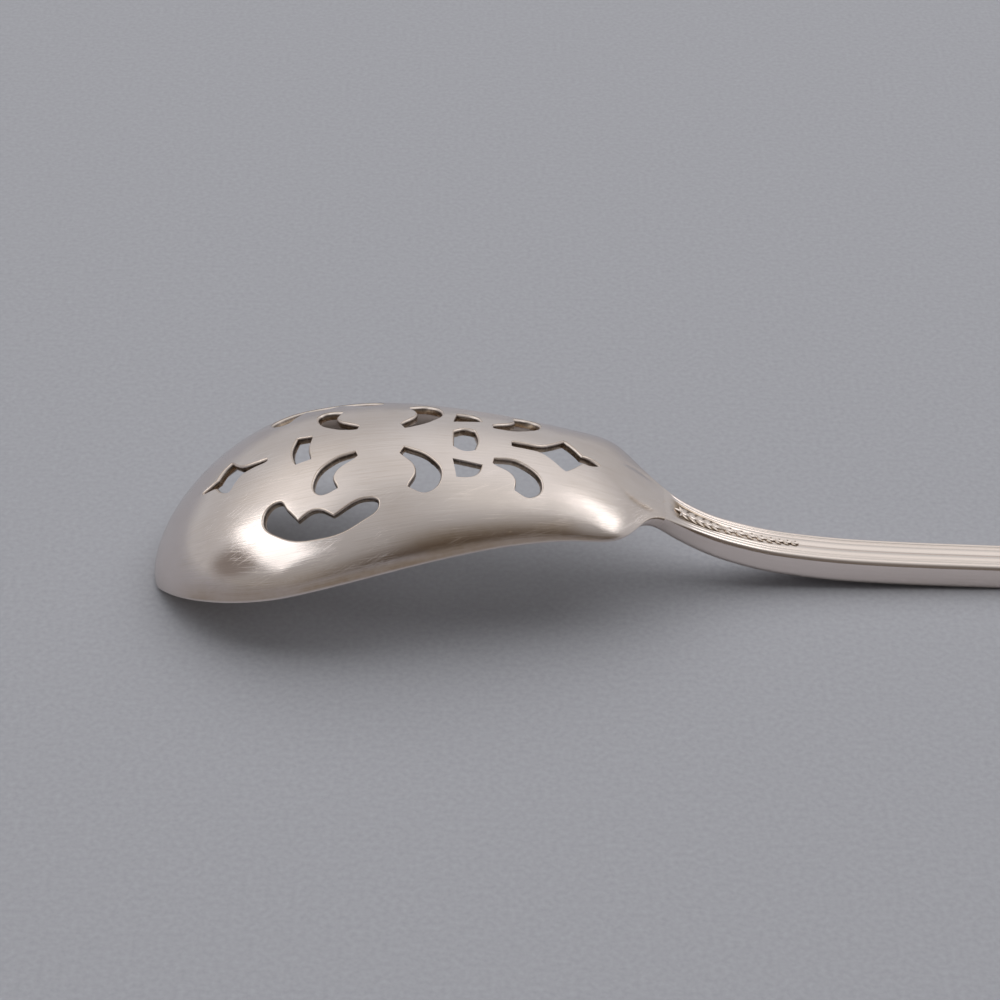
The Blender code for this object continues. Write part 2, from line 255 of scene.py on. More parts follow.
# Steps that slopes are measured over, along the spoon (shorter near the tip) and across it
SLOPE_STEP, TIP_STEP_SHARE, SLOPE_TURN = 0.06, 0.05, 2e-3
# Points closer than this are the same, and no length is taken to be less than a tiny one
TOUCH = 1e-4
TINY = 1e-12

# Wear and painted light.  Recess is how much tarnish and grime a place holds, and on the bowl also
# how much painted shade, and polish how bright it is rubbed, and on the bowl's flanks and the handle's
# faces also how much painted sheen, both from 0 to 1, and a level is a share of the thickness, from the
# back down.  A zone of the bowl's back, darkened by tarnish together with a painted reflection of the
# shaded floor, is its start and run on the way to the rim, as shares of that way, its start and run
# along the spoon, its end and run, and its recess.
TARNISH_AND_SHADE_ZONES = (
    (0.62, 0.2, 23, 7, 44, 4, 0.42),
    (0.72, 0.2, 2, 4, 26, 8, 0.28),
    (0.84, 0.1, 10, 8, 47, 4, 0.42),
)
SAWN_RECESS, BEVEL_POLISH, BEVEL_LEVEL = 0.95, 0.9, 0.3
RIM_END, RIM_POLISH, RIM_LEVEL = 49.0, 0.5, 0.02
SHOULDER_RECESS, SHOULDER_RUN = 0.09, 2.0
# Painted shade in the valley of the near crease
CREASE_SHADE = 0.3
UNDERSIDE_RECESS = 0.08
HOLLOW_RECESS, HOLLOW_RUN = 0.22, 9.0
# The patch of each flank that is rubbed bright and lightened with painted sheen, as (distance, reach)
# from the tip and to the side
RUBBED_SHEEN_FROM_TIP, RUBBED_SHEEN_TO_SIDE = (34.0, 6.5), (7.2, 1.9)
# The handle's walls and face are rubbed bright, together with painted sheen
WALL_RECESS, WALL_POLISH_AND_SHEEN, WALL_LEVEL = 0.1, 0.55, 0.1
FACE_POLISH_AND_SHEEN, FACE_LEVEL, POLISH_RUN = 0.9, 0.05, 7.0
GROOVE_DULLING = 1.2
REED_RECESS, REEDS_END, REEDS_RUN = 0.15, 2.6, 0.5
FIELD_RECESS, FAN_RECESS, FAN_END, FAN_RUN = 0.3, 0.5, 58.0, 1.5
ROOT_GAIN, ROOT_CLEAN = 2.4, 1.05

# Finish of the silver: the heights of the brushing at which a furrow or a streak starts and is
# full, what each mark adds to the tarnish, the polish and the depth, and what makes it rougher
FURROW, STREAK = (0.48, 0.25), (0.52, 0.75)
FURROW_RECESS, STREAK_POLISH, SCRATCH_POLISH, SCRATCH_DEPTH = 0.12, 0.3, 0.25, -0.6
STAIN_ROUGHNESS, POLISH_ROUGHNESS, TONE_ROUGHNESS, TONE_MIDDLE = 0.25, 0.12, 0.14, 0.07
SOLDER_ROUGHNESS = 0.03
BRUSH_DEPTH = 0.02
BOWL_TARNISH, HANDLE_TARNISH = 0.14, 0.1
# Two sets of hairline scratches, as (angle to the grain, length, width, shift)
SCRATCH_LAYERS = ((0.1, 9.0, 0.05, 3.1), (-0.4, 3.5, 0.045, 17.7))

# Finish of the paper: its roughness and gloss, the scale of its fibres and the tone, strength and
# depth that they give it
PAPER_ROUGHNESS, PAPER_GLOSS = 0.85, 0.2
FIBRE_SCALE, FIBRE_DETAIL = 1800.0, 5.0
FIBRE_TONE, FIBRE_BASE = 0.3, 0.85
FIBRE_STRENGTH, FIBRE_DEPTH = 0.25, 0.1

# Camera: a square picture in pixels, angles in degrees, and the rest in millimetres, with the
# point that it looks at measured from the tip
FRAME_PIXELS = 1000
FOCAL_PIXELS = 2780.0
SENSOR = 36.0
VIEW_ELEVATION, VIEW_AZIMUTH, VIEW_ROLL = 36.01, -1.23, 1.26
VIEW_DISTANCE = 278.8
VIEW_TARGET = (35.04, 0.0, 9.34)
NEAREST_SEEN = 10.0

# Floor and lamps in metres, with a lamp as (azimuth, elevation, size, brightness).  Brightness
# and the colours of the room are as a mirror would show them, where 1 is white.
FLOOR_REACH = 3.0
LAMP_DISTANCE = 0.9
LEFT_WINDOW = (-105, 44, (1.05, 0.42), 0.9)
RIGHT_WINDOW = (87, 50, (0.64, 0.42), 0.9)
CEILING = (10, 68, (1.5, 1.3), 1.56)
ROOM_LOW = (0.50, 0.50, 0.505, 1)
ROOM_MIDDLE = (0.64, 0.635, 0.63, 1)
ROOM_RIGHT = (0.80, 0.79, 0.78, 1)
ROOM_LEFT = (0.94, 0.93, 0.92, 1)
ROOM_TOP = (0.50, 0.495, 0.49, 1)
ROOM_NEAR = (0.42, 0.415, 0.41, 1)
ROOM_CORNER = (0.085, 0.064, 0.048, 1)
ROOM_GAP, GAP_AZIMUTH, GAP_ELEVATION = (0.23, 0.205, 0.19, 1), -97, 20
ROOM_KEPT_FROM_FLOOR = 0.7


def ease(u):
    """Goes from 0 to 1 as u does, starting and ending level."""
    u = np.clip(u, 0, 1)
    return u * u * (3 - 2 * u)


def through(points, x):
    """A smooth curve through given points that never overshoots them."""
    at, value = np.array(points, float).T
    step = np.diff(at)
    slope = np.diff(value) / step
    before, after = slope[:-1], slope[1:]
    same_way = before * after > 0
    tangent = np.concatenate([slope[:1], np.zeros(len(before)), slope[-1:]])
    harmonic = 2 / (1 / np.where(same_way, before, 1) + 1 / np.where(same_way, after, 1))
    tangent[1:-1] = np.where(same_way, harmonic, 0)
    x = np.clip(x, at[0], at[-1])
    i = np.clip(np.searchsorted(at, x, side="right") - 1, 0, len(step) - 1)
    u = (x - at[i]) / step[i]
    bend = step[i] * u * (1 - u) * (tangent[i] * (1 - u) - tangent[i + 1] * u)
    return value[i] + (value[i + 1] - value[i]) * ease(u) + bend


def evened(curve):
    """The same curve with its sudden changes of bend smoothed out, as planishing does."""
    at = np.arange(0, LENGTH, EVEN_SAMPLE)
    half = round(3 * EVEN_REACH / EVEN_SAMPLE)
    weights = np.exp(-0.5 * (np.arange(-half, half + 1) * EVEN_SAMPLE / EVEN_REACH) ** 2)
    padded = np.pad(curve(at), half, mode="reflect", reflect_type="odd")
    soft = np.convolve(padded, weights / weights.sum(), mode="valid")

    def even_curve(x):
        raw = curve(x)
        return raw + (np.interp(x, at, soft) - raw) * ease((x - EVEN_START) / EVEN_BLEND)

    return even_curve


def swell(x, reach, taper):
    """Rises from 0 at the tip to 1 at reach, round like a quarter of an ellipse."""
    amount, closeness = taper
    u = np.clip(1 - x / reach, 0, 1)
    return np.sqrt(1 - u ** 2 * (1 + amount * (1 - u) * u ** closeness))


@evened
def half_width(x):
    nose = BOWL_HALF_WIDTH * swell(x, TIP_TO_WIDEST, NOSE_TAPER)
    narrowing = ease((x - TIP_TO_WIDEST) / (FLANK_END - TIP_TO_WIDEST))
    flank = BOWL_HALF_WIDTH - (BOWL_HALF_WIDTH - SHOULDER_HALF_WIDTH) * narrowing
    flare = ease((x - FLARE_START) / (END_CENTRE - FLARE_START))
    stem = STEM_HALF_WIDTH + (END_RADIUS - STEM_HALF_WIDTH) * flare
    return np.select(
        [x < TIP_TO_WIDEST, x < FLANK_END, x < STEM_START],
        [nose, flank, through(SHOULDER_OUTLINE, x)],
        stem,
    )


def middle_line(x):
    """How high the back's middle line lies, before it is evened out."""
    nose = CROWN_HEIGHT * swell(x, TIP_TO_CROWN, CROWN_TAPER)
    return np.where(x < TIP_TO_CROWN, nose, through(BACK_LINE, x))


back_height = evened(middle_line)


@evened
def edge_drop(x):
    """How far the rim, or the strap's edge, lies below the back's middle line."""
    bowl = middle_line(x) - through(RIM_LINE, x)
    return np.where(x < RIM_LINE[-1][0], bowl, through(NECK_DROP, x))


@evened
def edge_angle(x):
    return np.radians(through(EDGE_ANGLE, x))


def thickness(x):
    """The sheet's gauge in the bowl, thickening along the neck to the strap's."""
    return bpy.context.scene.spoon_sizes.bowl_gauge / MM + through(STRAP_THICKNESS, x)


def crease(x, y):
    """How near a point is to the bottom of a crease beside the tongue, from 0 to 1."""
    from_edge = np.abs(y) - through(TONGUE_OUTLINE, x)
    return through(CREASE_RUN, x) * np.exp(-(from_edge / CREASE_WIDTH) ** 2)


def tongue_relief(x, y, drop):
    """How the tongue changes the height of the heel: flat inside, with a crease along its edge."""
    from_edge = np.abs(y) - through(TONGUE_OUTLINE, x)
    flat = drop * (1 - ease(from_edge / CREASE_WIDTH + 1))
    return through(CREASE_RUN, x) * TONGUE_FLATNESS * flat - CREASE_DEPTH * crease(x, y)


def back_point(x, across):
    """A point of the back; across runs from -1 on one edge to 1 on the other."""
    whole = edge_angle(x)
    turn = across * whole
    y = half_width(x) * np.sin(turn) / np.sin(whole)
    drop = edge_drop(x) * (1 - np.cos(turn)) / (1 - np.cos(whole))
    z = back_height(x) - drop + tongue_relief(x, y, drop)
    return np.stack([x, y, z], axis=-1)


def unit(vectors):
    length = np.linalg.norm(vectors, axis=-1, keepdims=True)
    return vectors / np.maximum(length, TINY)


def back_slopes(x, across):
    """Small steps of the back along the spoon and across it."""
    step = np.minimum(SLOPE_STEP, TIP_STEP_SHARE * x)
    inside = np.clip(across, SLOPE_TURN - 1, 1 - SLOPE_TURN)
    along = back_point(x + step, inside) - back_point(x - step, inside)
    sideways = back_point(x, inside + SLOPE_TURN) - back_point(x, inside - SLOPE_TURN)
    return along, sideways


def back_normal(x, across):
    along, sideways = back_slopes(x, across)
    return unit(np.cross(along, sideways))


def across_at(x, y):
    """Where a plan point lies across the spoon, from -1 to 1."""
    whole = edge_angle(x)
    return np.arcsin(np.clip(y * np.sin(whole) / half_width(x), -1, 1)) / whole


def edge_round(x):
    """How far the rounded edge stands out past the sheet's last row of points."""
    sizes = bpy.context.scene.spoon_sizes
    rim, bead = sizes.rim_round / MM, sizes.bead_round / MM
    wanted = through(
        ((0, rim), (EDGE_TURN_START, rim), (EDGE_TURN_END, bead), (LENGTH, bead)), x,
    )
    return np.minimum(wanted, back_height(x) * ROUND_LIMIT)


def edge_corner(x):
    """How deep the rounding of an edge reaches: half way on the rim, a corner on the strap."""
    gauge = thickness(x)
    turned = ease((x - EDGE_TURN_START) / (EDGE_TURN_END - EDGE_TURN_START))
    return gauge / 2 + (edge_round(x) - gauge / 2) * turned


def edge_slant(x, level):
    """The rounded edge at a level: how far it stands out, and its direction as (out, up)."""
    corner = edge_corner(x)
    middle = 0.5 - level
    depth = thickness(x) / corner
    up = np.sign(middle) * np.clip((np.abs(middle) - 0.5) * depth + 1, 0, 1)
    out = np.sqrt(1 - up ** 2)
    bead = through(BEAD_PROFILE, (0.5 - np.abs(middle)) * thickness(x))
    stand = out + (bead - out) * ease((x - SEAM_X) / BEAD_RUN)
    return edge_round(x) * stand, out / edge_round(x), up / corner


def edge_across(x):
    """Where the sheet's last row of points lies, short of the edge by its rounding."""
    small = 1e-3
    reach = back_point(x, 1 + 0 * x) - back_point(x, 1 - small + 0 * x)
    return 1 - small * edge_round(x) / np.linalg.norm(reach, axis=-1)


def place(points):
    """Metres in the frame, from millimetres along the spoon, across it and up."""
    return points * MM + (CAD_LOW.x, 0, CAD_LOW.z)


def plate(plan, levels):
    """A closed flat plate over a grid of plan points[row, column], with levels round its edge.

    Gives its points as (x, y, level), its faces, and which points lie on the edge.
    """
    rows, columns = plan.shape[:2]
    build = bmesh.new()
    made = [build.verts.new((x, y, 0)) for x, y in plan.reshape(-1, 2)]
    for row in range(rows - 1):
        for column in range(columns - 1):
            i = row * columns + column
            build.faces.new([made[k] for k in (i, i + columns, i + columns + 1, i + 1)])
    bmesh.ops.remove_doubles(build, verts=build.verts, dist=TOUCH / 10)
    build.verts.index_update()
    sheet = [tuple(vertex.co.xy) for vertex in build.verts]
    top = [[vertex.index for vertex in face.verts] for face in build.faces]
    border = [
        (loop.vert.index, loop.link_loop_next.vert.index)
        for face in build.faces for loop in face.loops if loop.edge.is_boundary
    ]
    build.free()
    rim = sorted({start for start, _ in border})
    points = [(x, y, 0) for x, y in sheet]
    rings = [{i: i for i in rim}]
    for level in levels[1:-1]:
        rings.append({i: len(points) + k for k, i in enumerate(rim)})
        points += [(*sheet[i], level) for i in rim]
    below = len(points)
    rings.append({i: below + i for i in rim})
    points += [(x, y, levels[-1]) for x, y in sheet]
    faces = top + [[below + i for i in reversed(face)] for face in top]
    for upper, lower in zip(rings, rings[1:]):
        faces += [(upper[a], lower[a], lower[b], upper[b]) for a, b in border]
    edge = np.zeros(len(points), bool)
    edge[[i for ring in rings for i in ring.values()]] = True
    return np.array(points), faces, edge


def new_mesh(name, points, faces):
    mesh = bpy.data.meshes.new(name)
    mesh.from_pydata(points.tolist(), [], faces)
    mesh.update()
    return mesh


def new_piece(name, data):
    piece = bpy.data.objects.new(name, data)
    bpy.context.scene.collection.objects.link(piece)
    return piece


def points_of(mesh):
    flat = np.zeros(len(mesh.vertices) * 3)
    mesh.vertices.foreach_get("co", flat)
    return flat.reshape(-1, 3)


def store(mesh, name, values):
    """Keeps a number for each point of a mesh, for its material to read."""
    mesh.attributes.new(name, "FLOAT", "POINT").data.foreach_set("value", values)


def store_grain(mesh, along, across):
    """A map whose first axis runs along the spoon and whose second runs across, in mm."""
    corner = np.zeros(len(mesh.loops), int)
    mesh.loops.foreach_get("vertex_index", corner)
    grain = np.stack([along, across], axis=-1)[corner]
    mesh.uv_layers.new(name="grain").data.foreach_set("uv", grain.ravel())


def settle(piece, slot, *nodes):
    """Rides the piece on the spoon in place of its solids."""
    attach(piece, "root")
    if nodes:
        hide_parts(*nodes)


def new_tree(name, kind, inputs, outputs):
    """A node group with named sockets, given as (name, what it carries, default if any)."""
    tree = bpy.data.node_groups.new(name, kind)
    for in_out, sockets in (("INPUT", inputs), ("OUTPUT", outputs)):
        for label, carries, *default in sockets:
            socket = tree.interface.new_socket(
                label, in_out=in_out, socket_type="NodeSocket" + carries,
            )
            if default:
                socket.default_value = default[0]
    entry = tree.nodes.new("NodeGroupInput")
    leave = tree.nodes.new("NodeGroupOutput")
    return tree, entry.outputs, leave.inputs


def add_node(tree, kind, inputs=None, **settings):
    """A node with its settings; an input is linked to a socket or set to a value."""
    node = tree.nodes.new(kind)
    for key, value in settings.items():
        setattr(node, key, value)
    for key, source in (inputs or {}).items():
        if isinstance(source, bpy.types.NodeSocket):
            tree.links.new(source, node.inputs[key])
        else:
            node.inputs[key].default_value = source
    return node


def maths(tree, operation, *values, clamp=False):
    """One step of arithmetic in a tree, given sockets or numbers."""
    inputs = dict(enumerate(values))
    return add_node(
        tree, "ShaderNodeMath", inputs, operation=operation, use_clamp=clamp,
    ).outputs[0]


def ranged(tree, value, low, high, smooth=False):
    """Goes from 0 to 1 as a value goes from low to high."""
    return add_node(
        tree, "ShaderNodeMapRange", {"Value": value, "From Min": low, "From Max": high},
        interpolation_type="SMOOTHSTEP" if smooth else "LINEAR",
    ).outputs[0]


def blend(tree, share, first, second):
    """A colour between two others."""
    return add_node(
        tree, "ShaderNodeMix", {"Factor": share, 6: first, 7: second}, data_type="RGBA",
    ).outputs[2]


def named_value(tree, name, kind="FLOAT"):
    """What a Geometry Nodes tree finds stored on its points under a name."""
    return add_node(
        tree, "GeometryNodeInputNamedAttribute", {"Name": name}, data_type=kind,
    ).outputs[0]


def noise(tree, vector, scale, detail, roughness=0.5):
    return add_node(
        tree, "ShaderNodeTexNoise",
        {"Vector": vector, "Scale": scale, "Detail": detail, "Roughness": roughness},
    ).outputs[0]


def run_nodes(piece, tree, values):
    """Runs a Geometry Nodes tree on a piece and keeps the result as its plain mesh."""
    maker = piece.modifiers.new(tree.name, "NODES")
    maker.node_group = tree
    for item in tree.interface.items_tree:
        if item.in_out == "INPUT" and item.name in values:
            maker[item.identifier] = values[item.name]
    bpy.context.view_layer.update()
    graph = bpy.context.evaluated_depsgraph_get()
    mesh = bpy.data.meshes.new_from_object(piece.evaluated_get(graph))
    piece.modifiers.remove(maker)
    piece.data = mesh
    if not mesh.polygons:
        raise RuntimeError(f"{tree.name} left nothing of {piece.name}")
    return mesh


def clear_away(collection):
    """Removes a collection of helpers, once a tree has used them."""
    for helper in list(collection.objects):
        bpy.data.objects.remove(helper)
    bpy.data.collections.remove(collection)


def end_tree(tree, geometry, finish, result):
    """Ends a Geometry Nodes tree with real geometry in its finish."""
    real = add_node(tree, "GeometryNodeRealizeInstances", {"Geometry": geometry})
    finished = add_node(
        tree, "GeometryNodeSetMaterial", {"Geometry": real.outputs[0], "Material": finish},
    )
    tree.links.new(finished.outputs[0], result)


def piercing_tree():
    """Saws every cutter of a collection out of a flat sheet."""
    tree, given, result = new_tree(
        "Saw the piercings", "GeometryNodeTree",
        (("Sheet", "Geometry"), ("Cutters", "Collection"), ("Finish", "Material")),
        (("Sheet", "Geometry"),),
    )
    cutters = add_node(tree, "GeometryNodeCollectionInfo", {"Collection": given["Cutters"]})
    bodies = add_node(tree, "GeometryNodeRealizeInstances", {"Geometry": cutters.outputs[0]})
    sawn = add_node(
        tree, "GeometryNodeMeshBoolean",
        {"Mesh 1": given["Sheet"], "Mesh 2": bodies.outputs[0]},
        operation="DIFFERENCE", solver="MANIFOLD",
    )
    end_tree(tree, sawn.outputs[0], given["Finish"], result[0])
    return tree


def reeding_tree():
    """Presses the reeds into the back of a flat strap."""
    tree, given, result = new_tree(
        "Press the reeds", "GeometryNodeTree",
        (
            ("Strap", "Geometry"), ("Depth", "Float", 0.2),
            ("Width", "Float", REED_PROFILE[-1][0]), ("Finish", "Material"),
        ),
        (("Strap", "Geometry"),),
    )
    share = maths(tree, "DIVIDE", named_value(tree, "from_edge"), given["Width"], clamp=True)
    profile = add_node(tree, "ShaderNodeFloatCurve", {"Value": share})
    curve = profile.mapping.curves[0]
    for at, height in REED_PROFILE[1:-1]:
        curve.points.new(at / REED_PROFILE[-1][0], height)
    curve.points[0].location = (0, REED_PROFILE[0][1])
    curve.points[-1].location = (1, REED_PROFILE[-1][1])
    profile.mapping.update()
    below = maths(tree, "SUBTRACT", 1.0, profile.outputs[0])
    sunk = maths(tree, "MAXIMUM", below, named_value(tree, "field"))
    faded = maths(tree, "MULTIPLY", sunk, named_value(tree, "reeding"))
    down = maths(tree, "MULTIPLY", maths(tree, "MULTIPLY", faded, given["Depth"]), -1.0)
    offset = add_node(tree, "ShaderNodeCombineXYZ", {"Z": down})
    pressed = add_node(
        tree, "GeometryNodeSetPosition",
        {"Geometry": given["Strap"], "Offset": offset.outputs[0]},
    )
    end_tree(tree, pressed.outputs[0], given["Finish"], result[0])
    return tree


def ornament_tree():
    """Sets one of a collection's ornaments on each point, turned and sized as the point says."""
    tree, given, result = new_tree(
        "Set the husks", "GeometryNodeTree",
        (
            ("Points", "Geometry"), ("Ornaments", "Collection"),
            ("Size", "Float", MM), ("Finish", "Material"),
        ),
        (("Husks", "Geometry"),),
    )
    turn = add_node(
        tree, "FunctionNodeAxesToRotation",
        {
            "Primary Axis": named_value(tree, "up", "FLOAT_VECTOR"),
            "Secondary Axis": named_value(tree, "along", "FLOAT_VECTOR"),
        },
        primary_axis="Z", secondary_axis="X",
    )
    span = maths(tree, "MULTIPLY", named_value(tree, "size"), given["Size"])
    lift = maths(tree, "MULTIPLY", named_value(tree, "lift"), given["Size"])
    size = add_node(tree, "ShaderNodeCombineXYZ", {"X": span, "Y": span, "Z": lift})
    ornaments = add_node(
        tree, "GeometryNodeCollectionInfo",
        {"Collection": given["Ornaments"], "Separate Children": True, "Reset Children": True},
    )
    spots = add_node(tree, "GeometryNodeMeshToPoints", {"Mesh": given["Points"]})
    instances = add_node(
        tree, "GeometryNodeInstanceOnPoints",
        {
            "Points": spots.outputs[0], "Instance": ornaments.outputs[0],
            "Pick Instance": True, "Instance Index": named_value(tree, "pick", "INT"),
            "Rotation": turn.outputs[0], "Scale": size.outputs[0],
        },
    )
    end_tree(tree, instances.outputs[0], given["Finish"], result[0])
    return tree


def brushing_group():
    """Fine brush lines along the grain: their height, and a broad change of tone."""
    tree, given, result = new_tree(
        "Brushing", "ShaderNodeTree",
        (("Grain", "Vector"), ("Length", "Float", 7.0), ("Width", "Float", 0.07)),
        (("Height", "Float"), ("Tone", "Float")),
    )
    stretch = add_node(
        tree, "ShaderNodeCombineXYZ", {"X": given["Length"], "Y": given["Width"], "Z": 1.0},
    )
    lines = add_node(
        tree, "ShaderNodeVectorMath", {0: given["Grain"], 1: stretch.outputs[0]},
        operation="DIVIDE",
    ).outputs[0]
    tree.links.new(noise(tree, lines, 1.0, 3.0, 0.6), result["Height"])
    tree.links.new(noise(tree, lines, 0.14, 3.0, 0.55), result["Tone"])
    return tree


def scratches_group():
    """Scattered hairline scratches, in two directions a little off the grain."""
    tree, given, result = new_tree(
        "Hairline scratches", "ShaderNodeTree",
        (("Grain", "Vector"), ("Amount", "Float", 1.0)),
        (("Mask", "Float"),),
    )
    layers = []
    for angle, length, width, shift in SCRATCH_LAYERS:
        turned_grain = add_node(
            tree, "ShaderNodeVectorRotate", {"Vector": given["Grain"], "Angle": angle},
            rotation_type="Z_AXIS",
        )
        lines = add_node(
            tree, "ShaderNodeVectorMath",
            {0: turned_grain.outputs[0], 1: (1 / length, 1 / width, 1), 2: (shift, shift, 0)},
            operation="MULTIPLY_ADD",
        )
        layers.append(ranged(tree, noise(tree, lines.outputs[0], 1.0, 0.0), 0.70, 0.78))
    worn = ranged(tree, noise(tree, given["Grain"], 0.3, 2.0), 0.40, 0.66)
    some = maths(tree, "MULTIPLY", maths(tree, "MAXIMUM", *layers), worn)
    tree.links.new(maths(tree, "MULTIPLY", some, given["Amount"]), result["Mask"])
    return tree


def tarnish_and_shade_group():
    """Warm tarnish: drifting stains on the open metal, and more of it in the recesses; the recess it is
    given also carries painted shade, which it colours the same way.
    """
    tree, given, result = new_tree(
        "Warm tarnish and painted shade", "ShaderNodeTree",
        (
            ("Place", "Vector"), ("Recess", "Float", 0.0), ("Amount", "Float", 0.2),
            ("Metal", "Color"), ("Tarnish", "Color"), ("Grime", "Color"),
        ),
        (("Stain", "Float"), ("Colour", "Color")),
    )
    drift = ranged(tree, noise(tree, given["Place"], 95.0, 4.0, 0.55), 0.35, 0.75)
    grains = noise(tree, given["Place"], 1500.0, 3.0, 0.6)
    dark_share = maths(tree, "MULTIPLY", given["Recess"], maths(tree, "MULTIPLY_ADD", grains, 0.7, 0.65))
    stain_and_shade = maths(tree, "MULTIPLY_ADD", drift, given["Amount"], dark_share, clamp=True)
    light = blend(
        tree, maths(tree, "MULTIPLY", stain_and_shade, 2.0, clamp=True), given["Metal"], given["Tarnish"],
    )
    deep = maths(tree, "MULTIPLY_ADD", stain_and_shade, 2.0, -1.0, clamp=True)
    tree.links.new(stain_and_shade, result["Stain"])
    tree.links.new(blend(tree, deep, light, given["Grime"]), result["Colour"])
    return tree


def effect(tree, name, maker, inputs):
    """Adds a shared shader group to a material; the group itself is built once."""
    group = bpy.data.node_groups.get(name) or maker()
    return add_node(tree, "ShaderNodeGroup", inputs, node_tree=group).outputs


def silver_material(name, metal, roughness, brushing, tarnish, grain_map=True):
    """Worn silver: brushed along its grain, scratched, bright at its edges, dark in recesses, with
    painted shade carried in its recess and painted sheen in its polish.
    """
    made = bpy.data.materials.get(name)
    if made:
        return made
    finish = bpy.context.scene.spoon_finish
    material = bpy.data.materials.new(name)
    material.use_nodes = True
    tree = material.node_tree
    shader = tree.nodes["Principled BSDF"].inputs
    shader["Metallic"].default_value = 1
    spot = add_node(tree, "ShaderNodeTexCoord").outputs["Object"]
    if grain_map:
        grain = add_node(tree, "ShaderNodeUVMap", uv_map="grain").outputs[0]
    else:
        grain = add_node(
            tree, "ShaderNodeVectorMath", {0: spot, 1: (1 / MM, 1 / MM, 1 / MM)},
            operation="MULTIPLY",
        ).outputs[0]
    recess_and_shade = add_node(tree, "ShaderNodeAttribute", attribute_name="recess_and_shade").outputs["Fac"]
    polish_and_sheen = add_node(tree, "ShaderNodeAttribute", attribute_name="polish_and_sheen").outputs["Fac"]
    brush = effect(tree, "Brushing", brushing_group, {"Grain": grain})
    scratch = effect(tree, "Hairline scratches", scratches_group, {"Grain": grain})
    furrow = ranged(tree, brush["Height"], *FURROW)
    stain_and_shade = effect(tree, "Warm tarnish and painted shade", tarnish_and_shade_group, {
        "Place": spot, "Recess": maths(tree, "MULTIPLY_ADD", furrow, FURROW_RECESS, recess_and_shade),
        "Amount": tarnish, "Metal": (*metal, 1), "Tarnish": (*finish.tarnish, 1),
        "Grime": (*finish.grime, 1),
    })
    streak = maths(tree, "MULTIPLY", ranged(tree, brush["Height"], *STREAK), STREAK_POLISH)
    marks = maths(tree, "MULTIPLY_ADD", scratch["Mask"], SCRATCH_POLISH, streak)
    # Polish, partly painted sheen, turns the colour towards the bright edge colour
    rubbed_and_sheen = maths(tree, "ADD", marks, polish_and_sheen, clamp=True)
    tint = blend(tree, rubbed_and_sheen, stain_and_shade["Colour"], (*finish.edge, 1))
    tree.links.new(tint, shader["Base Color"])
    dull = maths(tree, "MULTIPLY_ADD", stain_and_shade["Stain"], STAIN_ROUGHNESS, roughness - TONE_MIDDLE)
    matt = maths(tree, "MULTIPLY_ADD", polish_and_sheen, POLISH_ROUGHNESS, dull)
    uneven = maths(tree, "MULTIPLY_ADD", brush["Tone"], TONE_ROUGHNESS, matt)
    tree.links.new(uneven, shader["Roughness"])
    scored = maths(tree, "MULTIPLY_ADD", scratch["Mask"], SCRATCH_DEPTH, brush["Height"])
    bump = add_node(
        tree, "ShaderNodeBump",
        {"Strength": brushing, "Distance": BRUSH_DEPTH * MM, "Height": scored},
    )
    tree.links.new(bump.outputs[0], shader["Normal"])
    return material


def bowl_silver():
    finish = bpy.context.scene.spoon_finish
    return silver_material(
        "satin_silver", finish.silver, finish.satin, finish.brushing, BOWL_TARNISH,
    )


def handle_silver():
    finish = bpy.context.scene.spoon_finish
    return silver_material(
        "bright_silver", finish.silver, finish.satin, finish.brushing / 2, HANDLE_TARNISH,
    )


def solder_silver():
    finish = bpy.context.scene.spoon_finish
    return silver_material(
        "silver_solder", finish.solder, finish.satin + SOLDER_ROUGHNESS, finish.brushing,
        BOWL_TARNISH,
    )


def struck_silver():
    finish = bpy.context.scene.spoon_finish
    return silver_material(
        "struck_silver", finish.edge, finish.satin, finish.brushing / 2, HANDLE_TARNISH,
        grain_map=False,
    )


def paper_material():
    finish = bpy.context.scene.spoon_finish
    material = bpy.data.materials.new("paper")
    material.use_nodes = True
    tree = material.node_tree
    shader = tree.nodes["Principled BSDF"]
    shader.inputs["Roughness"].default_value = PAPER_ROUGHNESS
    shader.inputs["Specular IOR Level"].default_value = PAPER_GLOSS
    spot = add_node(tree, "ShaderNodeTexCoord").outputs["Object"]
    fibres = noise(tree, spot, FIBRE_SCALE, FIBRE_DETAIL)
    shade = maths(tree, "MULTIPLY_ADD", fibres, FIBRE_TONE, FIBRE_BASE)
    tone = add_node(
        tree, "ShaderNodeVectorMath", {0: finish.paper, "Scale": shade}, operation="SCALE",
    )
    tree.links.new(tone.outputs[0], shader.inputs["Base Color"])
    bump = add_node(
        tree, "ShaderNodeBump",
        {"Strength": FIBRE_STRENGTH, "Distance": FIBRE_DEPTH * MM, "Height": fibres},
    )
    tree.links.new(bump.outputs[0], shader.inputs["Normal"])
    return material


def outline_loop(points):
    """Plan points round a closed outline of smooth and corner points, counter-clockwise."""
    curve = bpy.data.curves.new("outline", "CURVE")
    curve.dimensions = "2D"
    curve.fill_mode = "NONE"
    curve.resolution_u = OUTLINE_STEPS
    spline = curve.splines.new("BEZIER")
    spline.bezier_points.add(len(points) - 1)
    spline.use_cyclic_u = True
    for knot, (x, y, kind) in zip(spline.bezier_points, points):
        knot.co = (x, y, 0)
        knot.handle_left_type = kind
        knot.handle_right_type = kind
    outline = new_piece("outline", curve)
    bpy.context.view_layer.update()
    graph = bpy.context.evaluated_depsgraph_get()
    mesh = bpy.data.meshes.new_from_object(outline.evaluated_get(graph))
    loop = points_of(mesh)[:, :2]
    bpy.data.objects.remove(outline)
    following = np.roll(loop, -1, axis=0)
    area = np.sum(loop[:, 0] * following[:, 1] - loop[:, 1] * following[:, 0])
    return loop if area > 0 else loop[::-1]


